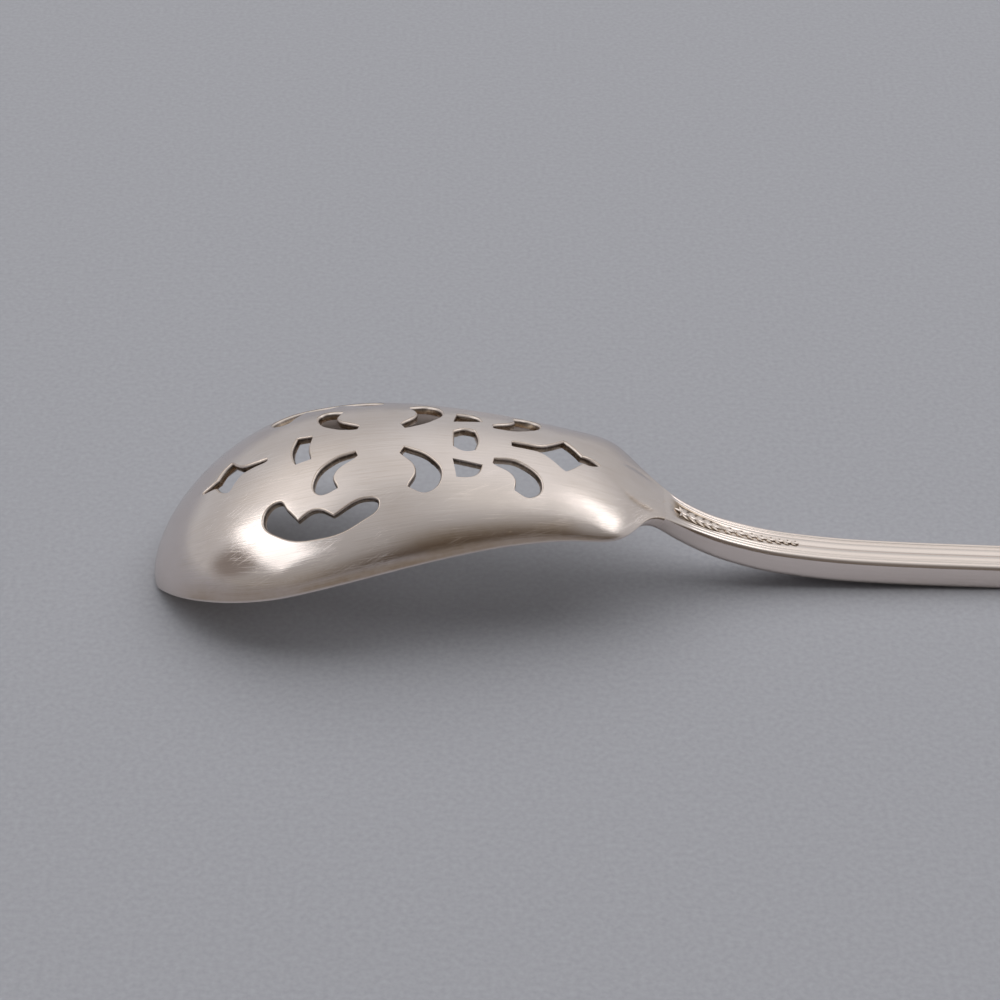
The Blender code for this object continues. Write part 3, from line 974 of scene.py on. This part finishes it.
def cutter_mesh(name, loop, bevel):
    """A saw cut on an outline, with a bevel that opens out towards the back of the sheet."""
    edges = unit(np.roll(loop, -1, axis=0) - loop)
    outward = np.stack([edges[:, 1], -edges[:, 0]], axis=-1)
    for _ in range(4):
        outward = (np.roll(outward, 1, axis=0) + 2 * outward + np.roll(outward, -1, axis=0)) / 4
    rings = [
        np.column_stack([loop + outward * bevel * share, np.full(len(loop), -depth)])
        for share, depth in CUTTER_WALL
    ]
    count = len(loop)
    last = (len(rings) - 1) * count
    faces = [tuple(range(count)), tuple(reversed(range(last, last + count)))]
    for ring in range(len(rings) - 1):
        for k in range(count):
            a = ring * count + k
            b = ring * count + (k + 1) % count
            faces.append((a, a + count, b + count, b))
    return new_mesh(name, np.concatenate(rings), faces)


def mirrored(points):
    return tuple((x, -y, kind) for x, y, kind in reversed(points))


def all_outlines():
    for name, half in CENTRE_PIERCINGS.items():
        yield name, half + mirrored([point for point in half if point[1] > 0])
    for name, outline in SIDE_PIERCINGS.items():
        yield name + "_far", outline
        yield name + "_near", mirrored(outline)


class SpoonSizes(PropertyGroup):
    """Sizes of the spoon's sheet and ornament."""

    bowl_gauge: FloatProperty(
        name="Bowl gauge", description="Thickness of the bowl's sheet",
        default=0.0008, unit="LENGTH", precision=5,
    )
    rim_round: FloatProperty(
        name="Rim rounding", description="How far the bowl's rounded rim stands out",
        default=0.00022, unit="LENGTH", precision=5,
    )
    bead_round: FloatProperty(
        name="Bead rounding", description="Radius of the handle's rounded edges",
        default=0.00045, unit="LENGTH", precision=5,
    )
    piercing_bevel: FloatProperty(
        name="Piercing bevel", description="Width of the filed bevel round each piercing",
        default=0.0002, unit="LENGTH", precision=5,
    )
    reed_depth: FloatProperty(
        name="Reed depth", description="Depth of the reeding on the handle's back",
        default=0.00018, unit="LENGTH", precision=5,
    )
    husk_count: IntProperty(
        name="Husks", description="Number of small husks in the drop", default=8, min=1, max=9,
    )
    husk_length: FloatProperty(
        name="Husk length", description="Length of the first small husk of the drop",
        default=0.0013, unit="LENGTH", precision=5,
    )


class SpoonFinish(PropertyGroup):
    """Colours and polish of the spoon and the paper under it."""

    silver: FloatVectorProperty(
        name="Silver", description="Colour of the clean metal",
        default=(0.84, 0.765, 0.735), subtype="COLOR", min=0, max=1,
    )
    # Tarnish, and grime where it runs deepest, also colour the painted shade on the bowl
    tarnish: FloatVectorProperty(
        name="Tarnish", description="Colour of the metal where it has tarnished",
        default=(0.52, 0.40, 0.29), subtype="COLOR", min=0, max=1,
    )
    grime: FloatVectorProperty(
        name="Grime", description="Colour of the metal deep in its recesses",
        default=(0.13, 0.105, 0.09), subtype="COLOR", min=0, max=1,
    )
    # The bright edge colour also gives the painted sheen on the flanks and the handle
    edge: FloatVectorProperty(
        name="Bright edge", description="Colour of the metal where it is rubbed bright",
        default=(0.97, 0.87, 0.81), subtype="COLOR", min=0, max=1,
    )
    solder: FloatVectorProperty(
        name="Solder", description="Colour of the seam at the neck",
        default=(0.835, 0.76, 0.73), subtype="COLOR", min=0, max=1,
    )
    paper: FloatVectorProperty(
        name="Paper", description="Colour of the floor",
        default=(0.345, 0.348, 0.377), subtype="COLOR", min=0, max=1,
    )
    satin: FloatProperty(
        name="Satin", description="Roughness of the clean metal",
        default=0.1, min=0, max=1, subtype="FACTOR",
    )
    brushing: FloatProperty(
        name="Brushing", description="Strength of the brush lines",
        default=0.4, min=0, max=1, subtype="FACTOR",
    )


class SPOON_OT_bowl(Operator):
    """Saw the piercings through a flat sheet and raise it into the bowl"""

    bl_idname = "spoon.bowl"
    bl_label = "Pierced bowl"

    def execute(self, context):
        sizes = context.scene.spoon_sizes
        rows = np.concatenate([
            TIP_SPAN * np.linspace(0, 1, TIP_ROWS) ** 2,
            np.arange(TIP_SPAN + BOWL_ROW_STEP, SEAM_X - SEAM_WIDTH / 2, BOWL_ROW_STEP),
            [SEAM_X - SEAM_WIDTH / 2],
        ])
        rows[0] = TOUCH ** 2
        x, share = np.meshgrid(rows, np.linspace(-1, 1, BOWL_COLUMNS), indexing="ij")
        plan = back_point(x, share * edge_across(x))[..., :2]
        plan[0] = 0
        points, faces, _ = plate(plan, EDGE_LEVELS)
        points[:, 2] *= -thickness(points[:, 0])
        bowl = new_piece("pierced_bowl", new_mesh("pierced_bowl", points, faces))
        cutters = bpy.data.collections.new("piercing_cutters")
        for name, outline in all_outlines():
            mesh = cutter_mesh(name, outline_loop(outline), sizes.piercing_bevel / MM)
            cutters.objects.link(bpy.data.objects.new(name, mesh))
        mesh = run_nodes(
            bowl, piercing_tree(), {"Cutters": cutters, "Finish": bowl_silver()},
        )
        clear_away(cutters)
        self.raise_sheet(mesh)
        settle(bowl, "bowl_silver", "bowl")
        return {"FINISHED"}

    def raise_sheet(self, mesh):
        """Bends the sawn sheet into the bowl, with the true surface's own shading."""
        build = bmesh.new()
        build.from_mesh(mesh)
        bmesh.ops.triangulate(build, faces=build.faces)
        build.to_mesh(mesh)
        build.free()
        x, y, z = points_of(mesh).T
        x = np.maximum(x, TOUCH ** 2)
        across = across_at(x, y)
        gauge = thickness(x)
        normal = back_normal(x, across)
        _, sideways = back_slopes(x, across)
        outward = unit(sideways) * np.sign(across)[:, None]
        level = -z / gauge
        at_edge = np.abs(y) > np.abs(back_point(x, edge_across(x))[:, 1]) - TOUCH
        bulge, out_share, up_share = edge_slant(x, np.clip(level, 0, 1))
        bulge = np.where(at_edge, bulge, 0)
        raised = back_point(x, across) + z[:, None] * normal + bulge[:, None] * outward
        raised[:, 2] = np.maximum(raised[:, 2], 0)
        mesh.vertices.foreach_set("co", place(raised).ravel())
        on_back = z > -TOUCH
        inside = level > 1 - TOUCH
        rim_normal = unit(normal * up_share[:, None] + outward * out_share[:, None])
        corner = np.zeros(len(mesh.loops), int)
        mesh.loops.foreach_get("vertex_index", corner)
        corner = corner.reshape(-1, 3)
        normals = np.zeros((*corner.shape, 3))
        normals[on_back[corner]] = normal[corner[on_back[corner]]]
        whole = inside[corner].all(axis=1)
        normals[whole] = -normal[corner[whole]]
        whole = at_edge[corner].all(axis=1)
        normals[whole] = rim_normal[corner[whole]]
        self.wear_and_painted_light(mesh, x, y, level, across, on_back, inside, at_edge | (x < TOUCH))
        store_grain(mesh, np.interp(x, *back_length()), across * BOWL_HALF_WIDTH)
        mesh.shade_smooth()
        mesh.set_sharp_from_angle(angle=SMOOTH_ANGLE)
        mesh.normals_split_custom_set(normals.reshape(-1, 3).tolist())
        mesh.update()

    def wear_and_painted_light(self, mesh, x, y, level, across, on_back, inside, rim):
        """Stores where the bowl holds tarnish and painted shade, where it is rubbed bright, and where
        painted sheen lightens it.
        """
        wall = ~(on_back | inside | rim)
        reach = np.abs(across)
        worn = np.zeros(len(x))
        # Low on the flanks, round the nose and along the rim: tarnish together with a painted
        # reflection of the shaded floor
        for rise, rise_run, start, start_run, end, end_run, recess_and_shade in TARNISH_AND_SHADE_ZONES:
            zone = ease((reach - rise) / rise_run)
            zone = zone * ease((x - start) / start_run) * ease((end - x) / end_run)
            worn = np.maximum(worn, recess_and_shade * zone)
        side = np.where(rim, SHOULDER_RECESS * ease((x - RIM_END) / SHOULDER_RUN), worn)
        # Only the near one of the two creases is darkened, with painted shade in its valley
        crease_shade = CREASE_SHADE * crease(x, y) ** 2 * (y < 0)
        open_metal = np.where(on_back, np.maximum(side, crease_shade), side)
        hollow = UNDERSIDE_RECESS + HOLLOW_RECESS * ease((SEAM_X - x) / HOLLOW_RUN)
        dark_share = np.where(wall, SAWN_RECESS, np.where(inside, hollow, open_metal))
        store(mesh, "recess_and_shade", dark_share)
        bevel = wall & (level < BEVEL_LEVEL)
        rim_edge = rim & (x < RIM_END) & (level > RIM_LEVEL) & (level < 1 - RIM_LEVEL)
        # A patch on each flank, rubbed bright together with painted sheen
        patch = ((x, *RUBBED_SHEEN_FROM_TIP), (np.abs(y), *RUBBED_SHEEN_TO_SIDE))
        away = sum(((at - middle) / run) ** 2 for at, middle, run in patch)
        rubbed_and_sheen = np.exp(-away) * on_back
        bright = np.where(bevel, BEVEL_POLISH, np.where(rim_edge, RIM_POLISH, rubbed_and_sheen))
        store(mesh, "polish_and_sheen", bright)


def back_length():
    """Distances from the tip, and how far they are along the curved back."""
    tip = TIP_SPAN * np.linspace(0, 1, 200) ** 2
    x = np.concatenate([tip, np.arange(TIP_SPAN, LENGTH, 0.2)[1:]])
    steps = np.hypot(np.diff(x), np.diff(back_height(x)))
    return x, np.concatenate([[0], np.cumsum(steps)])


class SPOON_OT_neck_solder(Operator):
    """Lay the seam of solder that joins bowl and handle"""

    bl_idname = "spoon.neck_solder"
    bl_label = "Neck solder"

    def execute(self, context):
        rows = SEAM_X + SEAM_WIDTH * np.linspace(-0.5, 0.5, 3)
        x, share = np.meshgrid(rows, np.linspace(-1, 1, BOWL_COLUMNS), indexing="ij")
        plan = back_point(x, share * edge_across(x))[..., :2]
        points, faces, edge = plate(plan, EDGE_LEVELS)
        x, y, level = points.T
        outward = np.stack([0 * x, np.sign(y)], axis=-1)
        raised = raise_strap(x, y, -level * thickness(x), level, edge, outward)
        mesh = new_mesh("neck_solder", place(raised), faces)
        finish_strap(mesh, x, y, level, 0 * x, 0 * x)
        mesh.materials.append(solder_silver())
        settle(new_piece("neck_seam", mesh), "solder", "neck_solder")
        return {"FINISHED"}


def raise_strap(x, y, z, level, edge, outward):
    """Bends a flat strap into its curve, with flat walls and softly rounded corners."""
    along = back_point(x, across_at(x, y))
    normal = back_normal(x, across_at(x, y))
    step = 0.01
    ahead_x, ahead_y = x - step * outward[:, 0], y - step * outward[:, 1]
    out = unit(along - back_point(ahead_x, across_at(ahead_x, ahead_y)) + TINY)
    bulge, _, _ = edge_slant(x, level)
    raised = along + z[:, None] * normal + np.where(edge, bulge, 0)[:, None] * out
    raised[:, 2] = np.maximum(raised[:, 2], 0)
    return raised


def finish_strap(mesh, x, y, level, recess_and_shade, polish_and_sheen):
    store(mesh, "recess_and_shade", recess_and_shade)
    store(mesh, "polish_and_sheen", polish_and_sheen)
    store_grain(mesh, np.interp(x, *back_length()), y + np.sign(y) * level * thickness(x))
    mesh.shade_smooth()
    mesh.set_sharp_from_angle(angle=SMOOTH_ANGLE)


def strap_columns(reach):
    """How far the columns of a strap lie from its middle line, from its edge inwards."""
    reeded = reach - REED_COLUMNS
    return np.array([*reeded, reeded[-1] * 2 / 3, reeded[-1] / 3])


def strap_plan():
    """Plan points of the flat strap: rows along the stem, then rows round its end."""
    plan = []
    for x in HANDLE_ROWS:
        side = strap_columns(half_width(x) - edge_round(x))
        plan.append([(x, y) for y in (*-side, 0, *side[::-1])])
    reach = strap_columns(END_RADIUS - edge_round(END_CENTRE))
    for angle in END_ANGLES:
        ex, ey = END_CENTRE + reach * math.cos(angle), reach * math.sin(angle)
        near, far = list(zip(ex, -ey)), list(zip(ex, ey))
        plan.append([*near, (END_CENTRE, 0), *far[::-1]])
    return np.array(plan)


class SPOON_OT_handle(Operator):
    """Press the reeds into a flat strap and bend it into the handle"""

    bl_idname = "spoon.handle"
    bl_label = "Reeded handle"

    def execute(self, context):
        depth = context.scene.spoon_sizes.reed_depth / MM
        points, faces, edge = plate(strap_plan(), EDGE_LEVELS)
        x, y, level = points.T
        beyond = np.stack([np.maximum(x - END_CENTRE, 0), y], axis=-1)
        from_end = END_RADIUS - np.hypot(x - END_CENTRE, y)
        from_edge = np.where(x > END_CENTRE, from_end, half_width(x) - np.abs(y))
        outward = unit(beyond + TINY)
        flat = np.stack([x, y, -level * thickness(x)], axis=-1)
        mesh = new_mesh("handle", flat, faces)
        handle = new_piece("reeded_handle", mesh)
        start, full, last, end = ORNAMENT_FIELD
        field = ease((x - start) / (full - start)) * ease((end - x) / (end - last))
        margin = FIELD_MARGIN + FIELD_WIDENING * ease((x - FIELD_WIDENS) / FIELD_WIDENS_RUN)
        field = field * ease((from_edge - margin) / FIELD_SOFTNESS)
        store(mesh, "from_edge", from_edge)
        store(mesh, "field", field * FIELD_DEPTH)
        reeding = ease((x - REEDING_START) / (REEDING_FULL - REEDING_START)) * (level == 0)
        store(mesh, "reeding", reeding)
        mesh = run_nodes(handle, reeding_tree(), {"Depth": depth, "Finish": handle_silver()})
        flat = points_of(mesh)
        raised = raise_strap(x, y, flat[:, 2], level, edge, outward)
        mesh.vertices.foreach_set("co", place(raised).ravel())
        for name in ("from_edge", "field", "reeding"):
            mesh.attributes.remove(mesh.attributes[name])
        pressed = np.where(level == 0, -flat[:, 2] / depth, 0)
        wall = (level > WALL_LEVEL) & (level < 1)
        lines = REED_RECESS * np.clip(pressed, 0, 1) ** 2 * ease((REEDS_END - from_edge) / REEDS_RUN)
        cluster = FIELD_RECESS + FAN_RECESS * ease((FAN_END - x) / FAN_RUN)
        grooves = np.maximum(lines, cluster * field * reeding)
        # The face and walls are rubbed bright together with painted sheen, less so in the grooves
        face = np.where(level > FACE_LEVEL, 0, FACE_POLISH_AND_SHEEN * (1 - GROOVE_DULLING * grooves))
        rubbed_and_sheen = np.where(wall, WALL_POLISH_AND_SHEEN, face) * ease((x - SEAM_X) / POLISH_RUN)
        dull = np.where(wall, WALL_RECESS, np.where(level == 1, UNDERSIDE_RECESS, grooves))
        finish_strap(mesh, x, y, level, dull, rubbed_and_sheen)
        mesh.update()
        settle(handle, "handle_silver", "handle")
        return {"FINISHED"}


def hump(u, margin, lean, fullness):
    """Rises and falls again as u goes from 0 to 1, nearly to 0 at the ends, leaning to its root."""
    return np.sin(math.pi * np.clip(u, margin, 1 - margin) ** lean) ** fullness


def petal_shape(width, height, vein):
    """A closed petal one unit long, pointing along +X and swelling up from its ground."""
    u, v = np.meshgrid(np.linspace(0, 1, 13), np.linspace(-1, 1, 11), indexing="ij")
    half = width * hump(u, *PETAL_PLAN)
    points, faces, _ = plate(np.stack([u, half * v], axis=-1), (0, 1))
    x, y, level = points.T
    share = np.clip(np.abs(y) / (width * hump(x, *PETAL_PLAN)), 0, 1)
    round_top = np.sqrt(1 - share ** 2) - vein * np.exp(-(share / VEIN_WIDTH) ** 2)
    top = height * hump(x, *PETAL_CROWN) * round_top
    points[:, 2] = np.where(level == 0, np.maximum(top, 0), -ROOT_DEPTH)
    return points, faces


def join_shapes(shapes):
    """Several shapes as one."""
    points, faces, base = [], [], 0
    for shape_points, shape_faces in shapes:
        points.append(shape_points)
        faces += [[i + base for i in face] for face in shape_faces]
        base += len(shape_points)
    return np.concatenate(points), faces


def turned(shape, angle, scale, shift):
    """A shape turned about its root, then sized and moved."""
    points, faces = shape
    c, s = math.cos(angle), math.sin(angle)
    turn = np.array([(c, s, 0), (-s, c, 0), (0, 0, 1)])
    return points @ turn * scale + shift, faces


class SPOON_OT_husks(Operator):
    """Set the fan and its drop of husks on the handle's back"""

    bl_idname = "spoon.husks"
    bl_label = "Husk drop"

    def execute(self, context):
        sizes = context.scene.spoon_sizes
        leaves = [petal_shape(*LEAF)]
        for side in (1, -1):
            root = (SIDE_LEAF_ALONG, side * SIDE_LEAF_ASIDE, 0)
            leaf = petal_shape(*SIDE_LEAF)
            leaves.append(turned(leaf, side * SIDE_LEAF_TURN, SIDE_LEAF_SIZE, root))
        bead = turned(petal_shape(*BEAD), 0, BEAD_SIZE, (BEAD_ALONG, 0, 0))
        shapes = {"a_petal": petal_shape(*PETAL), "b_husk": join_shapes([*leaves, bead])}
        ornaments = bpy.data.collections.new("ornaments")
        for name, shape in shapes.items():
            mesh = new_mesh(name, *shape)
            low = 1 - np.clip(shape[0][:, 2] / PETAL[1], 0, 1)
            store(mesh, "recess_and_shade", np.clip(ROOT_GAIN * low - ROOT_CLEAN, 0, SAWN_RECESS))
            mesh.shade_smooth()
            ornaments.objects.link(bpy.data.objects.new(name, mesh))
        husks = list(LARGE_HUSKS)
        x, length = SMALL_HUSKS_START, sizes.husk_length / MM
        for _ in range(sizes.husk_count):
            husks.append((x, length))
            x, length = x + HUSK_SPACING * length, HUSK_SHRINKING * length
        fan = [
            (FAN_X, (-math.cos(angle), math.sin(angle), 0), FAN_LENGTH - FAN_SHORTENING * abs(angle), 0)
            for angle in np.radians(FAN_ANGLES)
        ]
        spots = fan + [(x, (1, 0, 0), length, 1) for x, length in husks]
        x, along, size, pick = (np.array(values) for values in zip(*spots))
        up = back_normal(x, 0 * x)
        _, _, last, end = ORNAMENT_FIELD
        sunk = FIELD_DEPTH * ease((end - x) / (end - last)) * sizes.reed_depth / MM
        ground = back_point(x, 0 * x) - up * (sunk - ORNAMENT_CLEAR)[:, None]
        mesh = new_mesh("husk_spots", place(ground), [])
        for name, values in (("along", along), ("up", up)):
            layer = mesh.attributes.new(name, "FLOAT_VECTOR", "POINT")
            layer.data.foreach_set("vector", values.ravel())
        store(mesh, "size", size)
        store(mesh, "lift", np.minimum(size, LIFT_LIMIT))
        mesh.attributes.new("pick", "INT", "POINT").data.foreach_set("value", pick)
        drop = new_piece("husk_drop", mesh)
        mesh = run_nodes(
            drop, ornament_tree(), {"Ornaments": ornaments, "Size": MM, "Finish": struck_silver()},
        )
        clear_away(ornaments)
        mesh.shade_smooth()
        settle(drop, "handle_silver")
        return {"FINISHED"}


def toward(azimuth, elevation):
    """A direction: azimuth 0 is away from the camera, 90 to its right."""
    a, e = math.radians(azimuth), math.radians(elevation)
    return Vector((math.sin(a) * math.cos(e), math.cos(a) * math.cos(e), math.sin(e)))


def softbox(name, azimuth, elevation, size, level):
    """A lamp that faces the spoon; level is how bright it looks, where 1 is white."""
    lamp = bpy.data.lights.new(name, "AREA")
    lamp.shape = "RECTANGLE"
    lamp.size, lamp.size_y = size
    lamp.energy = level * math.pi * lamp.size * lamp.size_y
    box = new_piece(name, lamp)
    back = toward(azimuth, elevation)
    box.location = back * LAMP_DISTANCE
    box.rotation_euler = back.to_track_quat("Z", "Y").to_euler()
    return box


class SPOON_OT_stage(Operator):
    """Lay the paper, hang the lamps and set the camera"""

    bl_idname = "spoon.stage"
    bl_label = "Stage"

    def execute(self, context):
        scene = context.scene
        build = bmesh.new()
        bmesh.ops.create_grid(build, x_segments=1, y_segments=1, size=FLOOR_REACH)
        mesh = bpy.data.meshes.new("paper")
        build.to_mesh(mesh)
        build.free()
        mesh.materials.append(paper_material())
        floor = new_piece("paper", mesh)
        softbox("left_window", *LEFT_WINDOW)
        softbox("right_window", *RIGHT_WINDOW)
        ceiling = softbox("ceiling", *CEILING)
        ceiling.visible_glossy = False
        self.light_room(scene)
        self.set_camera(scene)
        scene.view_settings.view_transform = "Standard"
        return {"FINISHED"}

    def light_room(self, scene):
        """A soft grey room: bright on its left, dim towards the camera, dark low on the right."""
        world = bpy.data.worlds.new("room")
        world.use_nodes = True
        scene.world = world
        tree = world.node_tree
        direction = add_node(tree, "ShaderNodeTexCoord").outputs["Generated"]
        parts = add_node(tree, "ShaderNodeSeparateXYZ", {"Vector": direction}).outputs

        def share(axis, start, end):
            return ranged(tree, parts[axis], start, end, smooth=True)

        right = share("X", -0.3, 0.3)
        upper = blend(tree, right, ROOM_MIDDLE, ROOM_RIGHT)
        upper = blend(tree, share("X", -0.15, -0.5), upper, ROOM_LEFT)
        back = blend(tree, share("Z", 0.25, 0.75), ROOM_LOW, upper)
        back = blend(tree, share("Z", 0.9, 1.0), back, ROOM_TOP)
        room = blend(tree, share("Y", 0.25, -0.5), back, ROOM_NEAR)
        low = maths(tree, "SUBTRACT", 1.0, share("Z", 0.0, 1.1))
        low_near = maths(tree, "MULTIPLY", low, share("Y", -0.1, -0.7))
        aside = maths(tree, "MULTIPLY_ADD", right, 0.8, 0.2)
        room = blend(tree, maths(tree, "MULTIPLY", low_near, aside), room, ROOM_CORNER)
        towards_gap = add_node(
            tree, "ShaderNodeVectorMath", {0: direction, 1: toward(GAP_AZIMUTH, GAP_ELEVATION)},
            operation="DOT_PRODUCT",
        ).outputs["Value"]
        gap = ranged(tree, towards_gap, 0.94, 0.985, smooth=True)
        light = tree.nodes["Background"].inputs
        tree.links.new(blend(tree, gap, room, ROOM_GAP), light["Color"])
        # The floor takes less of the room's light, so that it keeps the spoon's shadow
        rays = add_node(tree, "ShaderNodeLightPath").outputs
        kept = maths(tree, "MULTIPLY_ADD", rays["Is Diffuse Ray"], -ROOM_KEPT_FROM_FLOOR, 1.0)
        tree.links.new(kept, light["Strength"])

    def set_camera(self, scene):
        lens = bpy.data.cameras.new("camera")
        lens.sensor_width = SENSOR
        lens.lens = FOCAL_PIXELS / FRAME_PIXELS * SENSOR
        lens.clip_start = NEAREST_SEEN * MM
        camera = new_piece("camera", lens)
        e, a, r = (math.radians(v) for v in (VIEW_ELEVATION, VIEW_AZIMUTH, VIEW_ROLL))
        ahead = Vector((-math.sin(a) * math.cos(e), math.cos(a) * math.cos(e), -math.sin(e)))
        right = ahead.cross(Vector((0, 0, 1))).normalized()
        up = right.cross(ahead)
        right, up = right * math.cos(r) + up * math.sin(r), up * math.cos(r) - right * math.sin(r)
        target = Vector(place(np.array(VIEW_TARGET)))
        where = target - ahead * VIEW_DISTANCE * MM
        turn = Matrix((right, up, -ahead)).transposed().to_4x4()
        camera.matrix_world = Matrix.Translation(where) @ turn
        scene.camera = camera


class SPOON_PT_panel(Panel):
    """Steps and settings for the spoon"""

    bl_label = "Pierced Olive Spoon"
    bl_idname = "SPOON_PT_panel"
    bl_space_type = "VIEW_3D"
    bl_region_type = "UI"
    bl_category = "Spoon"

    def draw(self, context):
        for step in STEPS:
            self.layout.operator(step.bl_idname)
        for settings in (context.scene.spoon_sizes, context.scene.spoon_finish):
            for key in settings.__annotations__:
                self.layout.prop(settings, key)


STEPS = (SPOON_OT_stage, SPOON_OT_bowl, SPOON_OT_neck_solder, SPOON_OT_handle, SPOON_OT_husks)
CLASSES = (SpoonSizes, SpoonFinish, *STEPS, SPOON_PT_panel)


def register():
    for item in CLASSES:
        bpy.utils.register_class(item)
    bpy.types.Scene.spoon_sizes = PointerProperty(type=SpoonSizes)
    bpy.types.Scene.spoon_finish = PointerProperty(type=SpoonFinish)


def unregister():
    del bpy.types.Scene.spoon_finish
    del bpy.types.Scene.spoon_sizes
    for item in reversed(CLASSES):
        bpy.utils.unregister_class(item)


def main():
    register()
    bpy.ops.spoon.stage()
    bpy.ops.spoon.bowl()
    bpy.ops.spoon.neck_solder()
    bpy.ops.spoon.handle()
    bpy.ops.spoon.husks()


if __name__ == "__main__":
    main()
